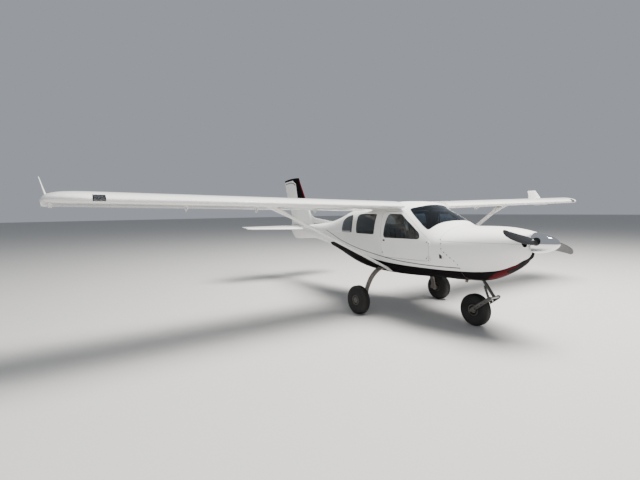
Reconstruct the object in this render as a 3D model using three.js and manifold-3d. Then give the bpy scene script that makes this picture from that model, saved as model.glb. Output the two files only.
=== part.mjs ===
// A two-seat high-wing light sport aircraft on its tricycle gear, in millimetres.
// +X points to the nose, +Y to port and +Z up.
// The origin is on the ground, under the middle of the aircraft.
import * as THREE from "three";
import { mergeVertices } from "three/addons/utils/BufferGeometryUtils.js";
import Module from "manifold-3d";

const wasm = await Module();
wasm.setup();

// Driving dimensions
const HALF_LENGTH = 3224;
const RUNNING_GAP = 5;
const DOOR_GAP = 9;
const SEAT_GAP = 0.3;
const SKIN = 25;
const TAIL_SKIN = 14;
const COWL_SKIN = 8;
const GLASS = 6;

// Fuselage: x, top z, bottom z, half width, z of the widest line, power of the upper and of the lower curve
const FUSELAGE = [
  [-2896, 1243, 1095, 22, 1160, 2.2, 2.2],
  [-2790, 1244, 990, 30, 1150, 2.2, 2.2],
  [-2707, 1245, 935, 37, 1145, 2.2, 2.0],
  [-2500, 1248, 935, 60, 1140, 2.2, 1.8],
  [-2237, 1256, 955, 92, 1135, 2.3, 2.0],
  [-1750, 1282, 972, 150, 1130, 2.4, 2.3],
  [-1250, 1325, 910, 225, 1120, 2.4, 2.4],
  [-900, 1385, 840, 290, 1110, 2.5, 2.4],
  [-560, 1475, 765, 370, 1100, 2.6, 2.5],
  [-260, 1560, 690, 445, 1095, 2.8, 2.6],
  [100, 1618, 612, 520, 1090, 3.1, 2.7],
  [500, 1652, 574, 570, 1090, 3.4, 2.9],
  [1000, 1690, 572, 595, 1090, 3.6, 3.0],
  [1300, 1674, 584, 598, 1090, 3.0, 3.0],
  [1400, 1646, 589, 597, 1090, 2.45, 2.95],
  [1500, 1603, 594, 594, 1090, 2.1, 2.9],
  [1720, 1500, 608, 586, 1090, 1.95, 2.8],
  [1930, 1373, 616, 572, 1090, 1.92, 2.7],
  [2073, 1342, 618, 548, 1092, 1.97, 2.6],
  [2200, 1338, 627, 520, 1095, 2.08, 2.5],
  [2400, 1340, 649, 470, 1100, 2.2, 2.4],
  [2600, 1333, 739, 402, 1112, 2.3, 2.2],
  [2750, 1316, 837, 338, 1126, 2.3, 2.1],
  [2850, 1298, 938, 282, 1142, 2.3, 2.1],
  [2905, 1284, 987, 238, 1152, 2.4, 2.2],
  [2932, 1268, 1055, 196, 1158, 2.4, 2.3],
];
const RING_POINTS = 28;
const CABIN_REAR = -340;
const TAIL_END = -2896;
const COWL_FRONT = 2932;
const FIREWALL_X = 2000;

// Wing
const WING_LE = 1313;
const WING_TE = 293;
const WING_LE_Z = 1598;
const WING_TE_Z = 1540;
const DIHEDRAL = 0.0222;
const WING_ROOT_Y = 470;
const HALF_SPAN = 4786;
const HINGE_X = 548;
const HINGE_RADIUS = 33;
const FLAP_Y = [640, 3385];
const AILERON_Y = [3400, 4600];
const BRACKET_Y = [1430, 2373, 3314];

// Landing gear
const AXLE_X = 764;
const HALF_TRACK = 891;
const TYRE_RADIUS = 215;
const TYRE_WIDTH = 150;
const RIM_RADIUS = 76;
const NOSE_AXLE_X = 2157;
const NOSE_TYRE_RADIUS = 215;
const NOSE_TYRE_WIDTH = 140;
const STEER_X = 2264;

// Propeller
const PROP_X = 3012;
const PROP_Z = 1161;
const PROP_RADIUS = 762;
const BLADE_ANGLE = THREE.MathUtils.degToRad(12.3);
const SPINNER_BASE_X = 2940;
const SPINNER_RADIUS = 121;

// Tail
const TAIL_HALF_SPAN = 1287;
const ELEVATOR_X = -2636;
const RUDDER_BASE_Z = 1254;

const WHITE = { color: 0xf0f0ec, roughness: 0.3, metalness: 0 };
const GLASSY = { color: 0x1c2a38, roughness: 0.1, metalness: 0 };
const STEEL = { color: 0x8a8782, roughness: 0.45, metalness: 0.8 };
const RUBBER = { color: 0x17171a, roughness: 0.85, metalness: 0 };
const CHROME = { color: 0xdadde0, roughness: 0.08, metalness: 1 };
const DARK = { color: 0x3a3b3d, roughness: 0.5, metalness: 0.1 };
const TRIM = { color: 0x6b665c, roughness: 0.8, metalness: 0 };
const LENS = { color: 0xd8dde0, roughness: 0.1, metalness: 0.2 };

const aircraft = new THREE.Group();

const vec = (x, y, z) => new THREE.Vector3(x, y, z);

// A closed three.js geometry as a solid
function solidOf(geometry) {
  const bare = geometry.clone();
  bare.deleteAttribute("normal");
  bare.deleteAttribute("uv");
  const merged = mergeVertices(bare, 1e-3);
  return new wasm.Manifold(
    new wasm.Mesh({
      numProp: 3,
      vertProperties: Float32Array.from(merged.attributes.position.array),
      triVerts: Uint32Array.from(merged.index.array),
    }),
  );
}

// A solid as a named mesh in the aircraft
function place(name, solid, look) {
  const { vertProperties, triVerts } = solid.getMesh();
  const geometry = new THREE.BufferGeometry();
  geometry.setAttribute("position", new THREE.BufferAttribute(vertProperties, 3));
  geometry.setIndex(new THREE.BufferAttribute(triVerts, 1));
  const flat = geometry.toNonIndexed();
  flat.computeVertexNormals();
  const mesh = new THREE.Mesh(flat, new THREE.MeshStandardMaterial(look));
  mesh.name = name;
  aircraft.add(mesh);
  return solid;
}

const union = (...solids) => solids.reduce((sum, solid) => sum.add(solid));
const cut = (solid, ...tools) => tools.reduce((left, tool) => left.subtract(tool), solid);
const signed = (value, side) => value * side;

// The flat triangles that close a ring of points
function capTriangles(ring) {
  const box = new THREE.Box3().setFromPoints(ring);
  const size = box.getSize(new THREE.Vector3());
  const [a, b] = ["x", "y", "z"].sort((p, q) => size[q] - size[p]);
  const outline = ring.map((p) => new THREE.Vector2(p[a], p[b]));
  return THREE.ShapeUtils.triangulateShape(outline, []);
}

// A closed solid through rings of the same number of points
function loft(rings) {
  const count = rings[0].length;
  const triangles = [];
  for (let r = 0; r + 1 < rings.length; r++) {
    for (let i = 0; i < count; i++) {
      const j = (i + 1) % count;
      const [a, b, c, d] = [r * count + i, r * count + j, (r + 1) * count + i, (r + 1) * count + j];
      triangles.push([a, c, b], [b, c, d]);
    }
  }
  const edges = new Set(triangles.flatMap(([a, b, c]) => [`${a}_${b}`, `${b}_${c}`, `${c}_${a}`]));
  for (const r of [0, rings.length - 1]) {
    for (const cap of capTriangles(rings[r])) {
      triangles.push(cap.map((i) => i + r * count));
    }
    const start = triangles.length - (count - 2);
    const caps = triangles.slice(start);
    const edgesOf = ([a, b, c]) => [`${a}_${b}`, `${b}_${c}`, `${c}_${a}`];
    const clashing = caps.some((cap) => edgesOf(cap).some((e) => edges.has(e)));
    if (clashing) caps.forEach((cap) => cap.reverse());
  }
  const points = rings.flat();
  const volume = triangles.reduce(
    (sum, [a, b, c]) => sum + points[a].dot(points[b].clone().cross(points[c])),
    0,
  );
  if (volume < 0) triangles.forEach((triangle) => triangle.reverse());
  const geometry = new THREE.BufferGeometry().setFromPoints(points);
  geometry.setIndex(triangles.flat());
  return solidOf(geometry);
}

// A box between two corners
function block([x0, y0, z0], [x1, y1, z1]) {
  const geometry = new THREE.BoxGeometry(Math.abs(x1 - x0), Math.abs(y1 - y0), Math.abs(z1 - z0));
  geometry.translate((x0 + x1) / 2, (y0 + y1) / 2, (z0 + z1) / 2);
  return solidOf(geometry);
}

// A cylinder or cone between two points, with a flat side down when it lies along Y
function rod(from, to, radius, sides = 16, endRadius = radius) {
  const axis = to.clone().sub(from);
  const geometry = new THREE.CylinderGeometry(endRadius, radius, axis.length(), sides);
  geometry.rotateY(Math.PI / sides);
  const turn = new THREE.Quaternion().setFromUnitVectors(vec(0, 1, 0), axis.clone().normalize());
  geometry.applyQuaternion(turn);
  geometry.translate(...from.clone().add(to).multiplyScalar(0.5).toArray());
  return solidOf(geometry);
}

// An outline in the side view (x, z), extruded from one y to another
function sidePrism(outline, y0, y1) {
  const shape = new THREE.Shape(outline.map(([x, z]) => new THREE.Vector2(x, z)));
  const geometry = new THREE.ExtrudeGeometry(shape, { depth: Math.abs(y1 - y0), bevelEnabled: false });
  geometry.rotateX(Math.PI / 2);
  geometry.translate(0, Math.max(y0, y1), 0);
  return solidOf(geometry);
}

// An outline in the plan view (x, y), extruded from one z to another
function planPrism(outline, z0, z1) {
  const shape = new THREE.Shape(outline.map(([x, y]) => new THREE.Vector2(x, y)));
  const geometry = new THREE.ExtrudeGeometry(shape, { depth: z1 - z0, bevelEnabled: false });
  geometry.translate(0, 0, z0);
  return solidOf(geometry);
}

// An outline with each corner moved out by a margin, for a clearance cut
function grown(outline, margin) {
  const area = THREE.ShapeUtils.area(outline.map(([x, z]) => new THREE.Vector2(x, z)));
  const turn = Math.sign(area);
  return outline.map((p, i) => {
    const before = outline[(i + outline.length - 1) % outline.length];
    const after = outline[(i + 1) % outline.length];
    const normals = [
      [before, p],
      [p, after],
    ].map(([a, b]) => {
      const length = Math.hypot(b[0] - a[0], b[1] - a[1]);
      return [(turn * (b[1] - a[1])) / length, (-turn * (b[0] - a[0])) / length];
    });
    const sum = [normals[0][0] + normals[1][0], normals[0][1] + normals[1][1]];
    const scale = (2 * margin) / (sum[0] ** 2 + sum[1] ** 2);
    return [p[0] + sum[0] * scale, p[1] + sum[1] * scale];
  });
}

// A smooth value from a table, between its rows
function smoothRow(table, x) {
  const last = table.length - 1;
  if (x <= table[0][0]) return table[0];
  if (x >= table[last][0]) return table[last];
  const i = table.findIndex((row, n) => x >= row[0] && x <= table[n + 1][0]);
  const [p1, p2] = [table[i], table[i + 1]];
  const p0 = table[Math.max(i - 1, 0)];
  const p3 = table[Math.min(i + 2, last)];
  const span = p2[0] - p1[0];
  const t = (x - p1[0]) / span;
  return p1.map((value, c) => {
    const m1 = i > 0 ? ((p2[c] - p0[c]) / (p2[0] - p0[0])) * span : p2[c] - value;
    const m2 = i + 2 <= last ? ((p3[c] - value) / (p3[0] - p1[0])) * span : p2[c] - value;
    return (
      (2 * t ** 3 - 3 * t ** 2 + 1) * value +
      (t ** 3 - 2 * t ** 2 + t) * m1 +
      (-2 * t ** 3 + 3 * t ** 2) * p2[c] +
      (t ** 3 - t ** 2) * m2
    );
  });
}

// The fuselage's section at x, moved in from the outer surface by an inset
function fuselageRing(x, inset) {
  const [, top, bottom, halfWidth, widest, upper, lower] = smoothRow(FUSELAGE, x);
  return Array.from({ length: RING_POINTS }, (_, i) => {
    const angle = (2 * Math.PI * (i + 0.5)) / RING_POINTS;
    const [c, s] = [Math.cos(angle), Math.sin(angle)];
    const power = 2 / (s > 0 ? upper : lower);
    const height = s > 0 ? top - inset - widest : widest - bottom - inset;
    const y = (halfWidth - inset) * Math.sign(c) * Math.abs(c) ** power;
    return vec(x, y, widest + height * Math.sign(s) * Math.abs(s) ** power);
  });
}

function fuselageBody(from, to, inset) {
  const between = FUSELAGE.map(([x]) => x).filter((x) => x > from + 1 && x < to - 1);
  return loft([from, ...between, to].map((x) => fuselageRing(x, inset)));
}

// How far out the fuselage's side lies at x and z
function sideY(x, z) {
  const [, top, bottom, halfWidth, widest, upper, lower] = smoothRow(FUSELAGE, x);
  const [height, power] = z > widest ? [top - widest, upper] : [widest - bottom, lower];
  return halfWidth * (1 - (Math.abs(z - widest) / height) ** power) ** (1 / power);
}

// The wing's section: an airfoil with its points moved out by a margin
const AIRFOIL_STEPS = 9;
const CAMBER = 0.04;
const CAMBER_AT = 0.4;
function airfoil(thickness) {
  const point = (t, side) => {
    const camber =
      t < CAMBER_AT
        ? (CAMBER / CAMBER_AT ** 2) * (2 * CAMBER_AT * t - t * t)
        : (CAMBER / (1 - CAMBER_AT) ** 2) * (1 - 2 * CAMBER_AT + 2 * CAMBER_AT * t - t * t);
    const shape = 0.2969 * Math.sqrt(t) - 0.126 * t - 0.3516 * t * t + 0.2843 * t ** 3 - 0.1015 * t ** 4;
    return [t, camber + side * 5 * thickness * shape];
  };
  const share = (i) => (1 - Math.cos((Math.PI * i) / AIRFOIL_STEPS)) / 2;
  const steps = Array.from({ length: AIRFOIL_STEPS + 1 }, (_, i) => share(i));
  const upper = steps.slice().reverse().map((t) => point(t, 1));
  const lower = steps.slice(1).map((t) => point(t, -1));
  return [...upper, ...lower];
}

// Distance out along the span, leading edge x, trailing edge x, drop of the section, thickness share
const WING_STATIONS = [
  [WING_ROOT_Y, WING_LE, WING_TE, 0, 0.12],
  [4400, WING_LE, WING_TE, 0, 0.12],
  [4540, 1270, WING_TE, 0, 0.124],
  [4650, 1185, 291, 0, 0.124],
  [4722, 1090, 300, 2, 0.112],
  [4765, 990, 360, 4, 0.082],
  [HALF_SPAN, 880, 520, 6, 0.04],
];
const wingLine = (y) => DIHEDRAL * y;
function wingBody(side, margin) {
  const rings = WING_STATIONS.map(([y, le, te, drop, thickness]) => {
    const chord = le - te;
    const section = airfoil(thickness).map(([t, h]) => [
      le - chord * t,
      WING_LE_Z + (WING_TE_Z - WING_LE_Z) * t + chord * h + wingLine(y) - drop,
    ]);
    const shaped = margin ? grown(section, margin) : section;
    return shaped.map(([x, z]) => vec(x, signed(y, side), z));
  });
  return loft(rings);
}
const hingeZ = (y) => 1581 + wingLine(y);

// The outline of what turns about a hinge line at its origin: a round nose and all that is behind it
function hingedOutline(radius, gap, chord) {
  const steps = 10;
  const nose = Array.from({ length: steps + 1 }, (_, i) => {
    const angle = -Math.PI / 2 + (Math.PI * i) / steps;
    return [(radius + gap) * Math.cos(angle), (radius + gap) * Math.sin(angle)];
  }).filter(([x]) => x > gap + 1);
  return [...nose, [gap, 100], [-chord, 100], [-chord, -100], [gap, -100]];
}
const PIN_RADIUS = 6;
// A pin along the hinge line at each end of a flap or aileron, up to the end walls of its bay
function hingePins(side, [y0, y1]) {
  const reach = RUNNING_GAP - SEAT_GAP;
  const at = (y) => vec(HINGE_X, signed(y, side), hingeZ(y));
  return [
    rod(at(y0 - reach), at(y0 + 20), PIN_RADIUS, 10),
    rod(at(y1 - 20), at(y1 + reach), PIN_RADIUS, 10),
  ];
}
function wingHinged(side, [y0, y1], gap) {
  const outline = hingedOutline(HINGE_RADIUS, gap, 400);
  const ring = (y) => outline.map(([x, z]) => vec(HINGE_X + x, signed(y, side), hingeZ(y) + z));
  return loft([ring(y0 - gap), ring(y1 + gap)]);
}

// Fuselage shells
const outer = fuselageBody(TAIL_END, COWL_FRONT, 0);
const outerGrown = fuselageBody(TAIL_END, COWL_FRONT, -SEAT_GAP);
const COWL_SPLIT_Z = 1156;
const COWL_REAR = [
  [1998, 1600],
  [1996, 1185],
  [2013, COWL_SPLIT_Z],
  [2028, 1110],
  [2032, 1036],
  [2074, 1012],
  [2109, 984],
  [2194, 912],
  [2232, 867],
  [2242, 825],
  [2240, 560],
  [3300, 560],
  [3300, 1600],
];
const FIREWALL_THICKNESS = 10;

// Doors and windows in the side view
const FRONT_DOOR = [
  [1000, 866],
  [1821, 880],
  [1846, 905],
  [1850, 1151],
  [1826, 1167],
  [1768, 1204],
  [1664, 1270],
  [1529, 1360],
  [1411, 1449],
  [1333, 1512],
  [1268, 1538],
  [938, 1538],
  [917, 1129],
  [940, 985],
];
const DOOR_WINDOW = [
  [983, 1190],
  [1010, 1155],
  [1655, 1164],
  [1684, 1184],
  [1655, 1245],
  [1592, 1283],
  [1413, 1404],
  [1327, 1479],
  [1296, 1499],
  [1080, 1500],
  [1054, 1476],
  [1009, 1321],
];
const REAR_DOOR = [
  [240, 985],
  [272, 955],
  [850, 950],
  [880, 980],
  [894, 1538],
  [330, 1538],
  [262, 1500],
  [242, 1440],
];
const REAR_DOOR_WINDOW = [
  [290, 1208],
  [308, 1191],
  [735, 1192],
  [757, 1207],
  [788, 1485],
  [770, 1500],
  [352, 1498],
  [300, 1455],
];
const MID_WINDOW = [
  [264, 1208],
  [284, 1191],
  [735, 1192],
  [757, 1207],
  [788, 1485],
  [770, 1500],
  [306, 1498],
  [251, 1475],
];
const AFT_WINDOW = [
  [-285, 1212],
  [-258, 1190],
  [98, 1194],
  [116, 1208],
  [116, 1330],
  [104, 1412],
  [60, 1470],
  [18, 1483],
  [-98, 1469],
  [-186, 1443],
  [-276, 1393],
];
const WINDSHIELD = [
  [1871, 0],
  [1862, 104],
  [1848, 191],
  [1826, 296],
  [1808, 369],
  [1796, 426],
  [1771, 496],
  [1649, 476],
  [1552, 447],
  [1425, 428],
  [1350, 419],
  [1385, 347],
  [1413, 275],
  [1430, 190],
  [1440, 62],
  [1442, 0],
];
const windshieldOutline = [...WINDSHIELD, ...WINDSHIELD.slice(1, -1).reverse().map(([x, y]) => [x, -y])];

const inner = fuselageBody(TAIL_END + 400, COWL_FRONT - 10, SKIN);
const glassInner = fuselageBody(TAIL_END + 400, COWL_FRONT - 10, GLASS);
const SIDE_REACH = 700;
const sideCut = (outline, side, margin = 0) =>
  sidePrism(margin ? grown(outline, margin) : outline, signed(150, side), signed(SIDE_REACH, side));
const LEG_HOLE_RADIUS = 62;
const legHole = rod(vec(STEER_X, 0, 560), vec(STEER_X, 0, 760), LEG_HOLE_RADIUS, 20);
const wingRoots = union(wingBody(1, SEAT_GAP), wingBody(-1, SEAT_GAP));
const EXHAUST = { low: vec(2085, -100, 592), high: vec(2230, -100, 958), radius: 22 };
const exhaustHole = rod(EXHAUST.low, EXHAUST.high, EXHAUST.radius + 4, 12);

// Door hinges: side, x and y of the axis, and the heights where the leaf's knuckle rests on the shell's
const KNUCKLE_RADIUS = 9;
const KNUCKLE_HEIGHT = 24;
const TAB_LENGTH = 34;
const DOOR_HINGES = {
  door_right: { side: -1, x: 1853, y: 592, heights: [908, 1125] },
  door_left: { side: 1, x: 1853, y: 592, heights: [908, 1125] },
  door_rear_left: { side: 1, x: 893, y: 607, heights: [1050, 1380] },
};
// The knuckles of one hinge line, each on a tab into the skin.
// They are above the joint on the leaf and below it on the shell.
function knuckles({ side, x, y, heights }, onLeaf) {
  const [low, high] = onLeaf ? [0, KNUCKLE_HEIGHT] : [-KNUCKLE_HEIGHT, -SEAT_GAP];
  const [near, far] = onLeaf ? [x - 4, x - TAB_LENGTH] : [x + 4, x + TAB_LENGTH / 2];
  return heights.map((z) =>
    union(
      rod(vec(x, signed(y, side), z + low), vec(x, signed(y, side), z + high), KNUCKLE_RADIUS, 10),
      block([near, signed(y + 3, side), z + low], [far, signed(sideY(x, z) - 9, side), z + high]),
    ),
  );
}
const allShellKnuckles = Object.values(DOOR_HINGES).flatMap((hinge) => knuckles(hinge, false));

// Shoulder room in the thick wall beside the windshield's lower corners
const SHOULDER = { rear: 1700, front: 1820, half: 500, low: 1100, high: 1240 };
const shoulderRoom = block(
  [SHOULDER.rear, -SHOULDER.half - SEAT_GAP, SHOULDER.low],
  [SHOULDER.front + SEAT_GAP, SHOULDER.half + SEAT_GAP, SHOULDER.high + SEAT_GAP],
);

// Cabin shell with its windows, doors and windshield cut
const cowlRegion = sidePrism(COWL_REAR, -SIDE_REACH, SIDE_REACH);
const cowlClearance = sidePrism(grown(COWL_REAR, SEAT_GAP), -SIDE_REACH, SIDE_REACH);
const windshieldCut = planPrism(grown(windshieldOutline, SEAT_GAP), 1200, 1800);
const cabinSpan = block([CABIN_REAR + SEAT_GAP, -SIDE_REACH, 0], [COWL_FRONT, SIDE_REACH, 2000]);
const cabinShell = cut(
  outer.intersect(cabinSpan),
  inner,
  cowlClearance,
  wingRoots,
  windshieldCut,
  shoulderRoom,
  legHole,
  exhaustHole,
  sideCut(FRONT_DOOR, -1, DOOR_GAP),
  sideCut(MID_WINDOW, -1, SEAT_GAP),
  sideCut(AFT_WINDOW, -1, SEAT_GAP),
  sideCut(FRONT_DOOR, 1, DOOR_GAP),
  sideCut(REAR_DOOR, 1, DOOR_GAP),
  sideCut(AFT_WINDOW, 1, SEAT_GAP),
);
place("cabin_shell", union(cabinShell, ...allShellKnuckles), WHITE);
place("windshield", cut(outer, glassInner).intersect(planPrism(windshieldOutline, 1200, 1800)), GLASSY);
const glassWall = cut(outer, glassInner);
place("window_right_mid", glassWall.intersect(sideCut(MID_WINDOW, -1)), GLASSY);
place("window_right_aft", glassWall.intersect(sideCut(AFT_WINDOW, -1)), GLASSY);
place("window_left_aft", glassWall.intersect(sideCut(AFT_WINDOW, 1)), GLASSY);

// Doors, each a curved leaf with its window
const doorWall = cut(outer, inner);
const DOORS = [
  ["door_right", FRONT_DOOR, DOOR_WINDOW, -1],
  ["door_left", FRONT_DOOR, DOOR_WINDOW, 1],
  ["door_rear_left", REAR_DOOR, REAR_DOOR_WINDOW, 1],
];
for (const [name, leaf, window, side] of DOORS) {
  const panel = cut(doorWall.intersect(sideCut(leaf, side)), sideCut(window, side, SEAT_GAP));
  place(name, union(panel, ...knuckles(DOOR_HINGES[name], true)), WHITE);
  place(name + "_glass", glassWall.intersect(sideCut(window, side)), GLASSY);
}

// Tail cone: hollow up to its rear end, with a bulkhead that has a lightening hole.
// Across it runs the bore of the elevator's tube.
const TAIL_TE_Z = 1222;
const TAIL_RISE = 0.09;
const elevatorZ = TAIL_TE_Z - TAIL_RISE * (ELEVATOR_X + 2870);
const TORQUE_TUBE = 13;
const HOLLOW_REAR = -2200;
const tailSpan = block([TAIL_END - 10, -SIDE_REACH, 0], [CABIN_REAR - SEAT_GAP / 2, SIDE_REACH, 2000]);
const TUBE_SIDES = 12;
const boreRadius = (TORQUE_TUBE + SEAT_GAP) / Math.cos(Math.PI / TUBE_SIDES);
const torqueBore = rod(
  vec(ELEVATOR_X, -200, elevatorZ),
  vec(ELEVATOR_X, 200, elevatorZ),
  boreRadius,
  TUBE_SIDES,
);
const tailHollow = fuselageBody(HOLLOW_REAR, CABIN_REAR - TAIL_SKIN, TAIL_SKIN);
const LIGHTENING = { z: 1150, radius: 110 };
const lighteningHole = rod(
  vec(CABIN_REAR - 60, 0, LIGHTENING.z),
  vec(CABIN_REAR + 10, 0, LIGHTENING.z),
  LIGHTENING.radius,
  20,
);
place("tail_cone", cut(outer.intersect(tailSpan), torqueBore, tailHollow, lighteningHole), WHITE);

// Cowl, in an upper and a lower half
const cowlInner = fuselageBody(TAIL_END + 400, COWL_FRONT - 12, COWL_SKIN);
const SHAFT_HOLE_RADIUS = 62;
const INTAKE = { y: 185, z: 1158, radius: 42 };
const throughFront = (y, z, radius, sides) =>
  rod(vec(COWL_FRONT - 82, y, z), vec(COWL_FRONT + 28, y, z), radius, sides);
const shaftHole = throughFront(0, PROP_Z, SHAFT_HOLE_RADIUS, 20);
const intakes = [-1, 1].map((side) => throughFront(signed(INTAKE.y, side), INTAKE.z, INTAKE.radius, 16));
const cowl = cut(outer.intersect(cowlRegion), cowlInner, shaftHole, legHole, exhaustHole, ...intakes);
const SPLIT = COWL_SPLIT_Z;
place("cowl_upper", cut(cowl, block([0, -700, 0], [3300, 700, SPLIT + SEAT_GAP / 2])), WHITE);
place("cowl_lower", cut(cowl, block([0, -700, SPLIT - SEAT_GAP / 2], [3300, 700, 2000])), WHITE);

// Firewall with the bracket that carries the nose leg
const innerFree = fuselageBody(TAIL_END + 400, COWL_FRONT - 20, SKIN + SEAT_GAP);
const LEG_TOP_Z = 800;
const FIREWALL_REAR = FIREWALL_X - 40;
const firewallPlate = innerFree.intersect(
  block([FIREWALL_REAR, -SIDE_REACH, 0], [FIREWALL_REAR + FIREWALL_THICKNESS, SIDE_REACH, 2000]),
);
const BRACKET_HALF = 60;
const BRACKET_HEIGHT = 40;
const legBracket = block(
  [FIREWALL_REAR + 5, -BRACKET_HALF, LEG_TOP_Z],
  [STEER_X + 50, BRACKET_HALF, LEG_TOP_Z + BRACKET_HEIGHT],
);
place("firewall", union(firewallPlate, legBracket), STEEL);

// Engine: one block, its mount tubes and its crankshaft
const ENGINE = { rear: 2130, front: 2720, half: 200, low: 955, high: 1256 };
const MOUNT_TUBE = { y: 150, heights: [1000, 1220], radius: 14 };
const CRANKSHAFT_RADIUS = 45;
const mountTubes = [-1, 1].flatMap((side) =>
  MOUNT_TUBE.heights.map((z) =>
    rod(
      vec(FIREWALL_REAR + FIREWALL_THICKNESS + SEAT_GAP, signed(MOUNT_TUBE.y, side), z),
      vec(ENGINE.rear + 30, signed(MOUNT_TUBE.y, side), z),
      MOUNT_TUBE.radius,
      10,
    ),
  ),
);
const crankshaft = rod(
  vec(ENGINE.front - 20, 0, PROP_Z),
  vec(SPINNER_BASE_X - SEAT_GAP, 0, PROP_Z),
  CRANKSHAFT_RADIUS,
  20,
);
place(
  "engine",
  union(
    block([ENGINE.rear, -ENGINE.half, ENGINE.low], [ENGINE.front, ENGINE.half, ENGINE.high]),
    ...mountTubes,
    crankshaft,
  ),
  DARK,
);

const pipe = rod(EXHAUST.low, EXHAUST.high, EXHAUST.radius, 12);
place("exhaust", cut(pipe, block([2000, -300, ENGINE.low - SEAT_GAP], [2500, 300, 1200])), STEEL);

// Wings with their flaps and ailerons
const SIDES = [
  ["right", -1],
  ["left", 1],
];
// Side view of a flap's bracket: x, and z over the trailing edge
const BRACKET_OUTLINE = [
  [560, 30],
  [350, 10],
  [385, -46],
  [400, -46],
];
const BRACKET_PLATE = 3;
function bracketPlate(side, y) {
  const low = WING_TE_Z + wingLine(y);
  const outline = BRACKET_OUTLINE.map(([x, z]) => [x, low + z]);
  return sidePrism(outline, signed(y - BRACKET_PLATE, side), signed(y + BRACKET_PLATE, side));
}
const strutFoot = { x: 944, y: 470, z: 676 };
const STRUT_SLOPE = (1527 - 690) / (2214 - 500);
// Distance out, chord and thickness of the strut, which flares into its fairing under the wing
const STRUT_STATIONS = [
  [410, 92, 40],
  [2120, 92, 40],
  [2240, 130, 56],
  [2520, 210, 80],
];
// Upright fin on the wing tip: x, distance out, z, chord and thickness
const WINGLET_STATIONS = [
  [345, 4712, 1630, 130, 40],
  [268, 4732, 1705, 300, 40],
  [246, 4757, 1795, 280, 24],
  [150, 4804, 1970, 180, 10],
];
// Landing lights: each is a lens that is part of the leading edge
const LAMP_Y = [4262, 4372];
const LAMP_REAR = 1256;
const LAMP_LOW = WING_LE_Z + wingLine(LAMP_Y[0]) - 16;
const lampRoom = (side, gap) =>
  block(
    [LAMP_REAR - gap, signed(LAMP_Y[0] - gap, side), LAMP_LOW - gap],
    [WING_LE + 50, signed(LAMP_Y[1] + gap, side), 1900],
  );
for (const [word, side] of SIDES) {
  const whole = wingBody(side, 0);
  const coves = [FLAP_Y, AILERON_Y].map((span) => wingHinged(side, span, RUNNING_GAP));
  place("wing_" + word, cut(whole, ...coves, lampRoom(side, SEAT_GAP)), WHITE);
  place("landing_light_" + word, whole.intersect(lampRoom(side, 0)), LENS);
  const brackets = BRACKET_Y.map((y) => bracketPlate(side, y));
  const flap = whole.intersect(wingHinged(side, FLAP_Y, 0));
  place("flap_" + word, union(flap, ...brackets, ...hingePins(side, FLAP_Y)), WHITE);
  const aileron = whole.intersect(wingHinged(side, AILERON_Y, 0));
  place("aileron_" + word, union(aileron, ...hingePins(side, AILERON_Y)), WHITE);

  // Strut: streamlined tube from the fuselage's lower corner to the wing
  const strutRing = ([y, chord, thick]) =>
    Array.from({ length: 14 }, (_, i) => {
      const angle = (2 * Math.PI * i) / 14;
      const z = strutFoot.z + (y - strutFoot.y) * STRUT_SLOPE;
      const [ahead, above] = [(chord / 2) * Math.cos(angle), (thick / 2) * Math.sin(angle)];
      return vec(strutFoot.x + ahead, signed(y, side), z + above);
    });
  const strut = loft(STRUT_STATIONS.map(strutRing));
  const aboveWing = block([0, signed(1500, side), 1610 + wingLine(2400)], [2000, signed(3000, side), 2000]);
  place("strut_" + word, cut(strut, outerGrown, wingBody(side, SEAT_GAP), aboveWing), WHITE);

  const wingletRing = ([x, y, z, chord, thick]) =>
    [
      [0.5, 0],
      [0.3, 1],
      [-0.1, 1],
      [-0.5, 0.1],
      [-0.5, -0.1],
      [-0.1, -1],
      [0.3, -1],
    ].map(([t, s]) => vec(x + t * chord, signed(y + (s * thick) / 2, side), z));
  const winglet = loft(WINGLET_STATIONS.map(wingletRing));
  place("winglet_" + word, cut(winglet, wingBody(side, SEAT_GAP)), WHITE);
}

// Fin and rudder: a symmetric section between a leading and a trailing edge
const FIN_STATIONS = [
  [1200, -1880, -2896, 84],
  [1494, -2046, -2906, 72],
  [1846, -2266, -3078, 60],
  [2294, -2540, -HALF_LENGTH, 44],
];
const FIN_TOP_TILT = 0.044;
const FIN_CROWN = 20;
const finRing = ([z, le, te, thick]) =>
  [
    [0, 0],
    [0.04, 0.55],
    [0.16, 0.92],
    [0.34, 1],
    [0.6, 0.8],
    [0.98, 0.12],
    [1, 0],
    [0.98, -0.12],
    [0.6, -0.8],
    [0.34, -1],
    [0.16, -0.92],
    [0.04, -0.55],
  ].map(([t, s]) => {
    const x = le + (te - le) * t;
    const crown = FIN_CROWN * (1 - (2 * t - 1) ** 2);
    const rise = z > 2200 ? (x - (le + te) / 2) * FIN_TOP_TILT + crown : 0;
    return vec(x, (s * thick) / 2, z + rise);
  });
const finWhole = loft(FIN_STATIONS.map(finRing));
const rudderHinge = (z) => -2649 - 0.18 * (z - 1870);
const RUDDER_RADIUS = 31;
function rudderHinged(gap, base) {
  const outline = hingedOutline(RUDDER_RADIUS, gap, 700);
  const ring = (z) => outline.map(([x, y]) => vec(rudderHinge(z) + x, y, z));
  return loft([ring(base), ring(2400)]);
}
const DORSAL = [
  [-840, 1300],
  [-1500, 1372],
  [-1836, 1402],
  [-1960, 1440],
  [-2060, 1520],
  [-2180, 1700],
  [-2300, 1700],
  [-2300, 1200],
  [-840, 1200],
];
const dorsal = sidePrism(DORSAL, -16, 16);
place("fin", cut(union(finWhole, dorsal), outerGrown, rudderHinged(RUNNING_GAP, 1100)), WHITE);
const RUDDER_PIN_Z = 1248.6;
const pinAt = (z) => vec(rudderHinge(z), 0, z);
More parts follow.
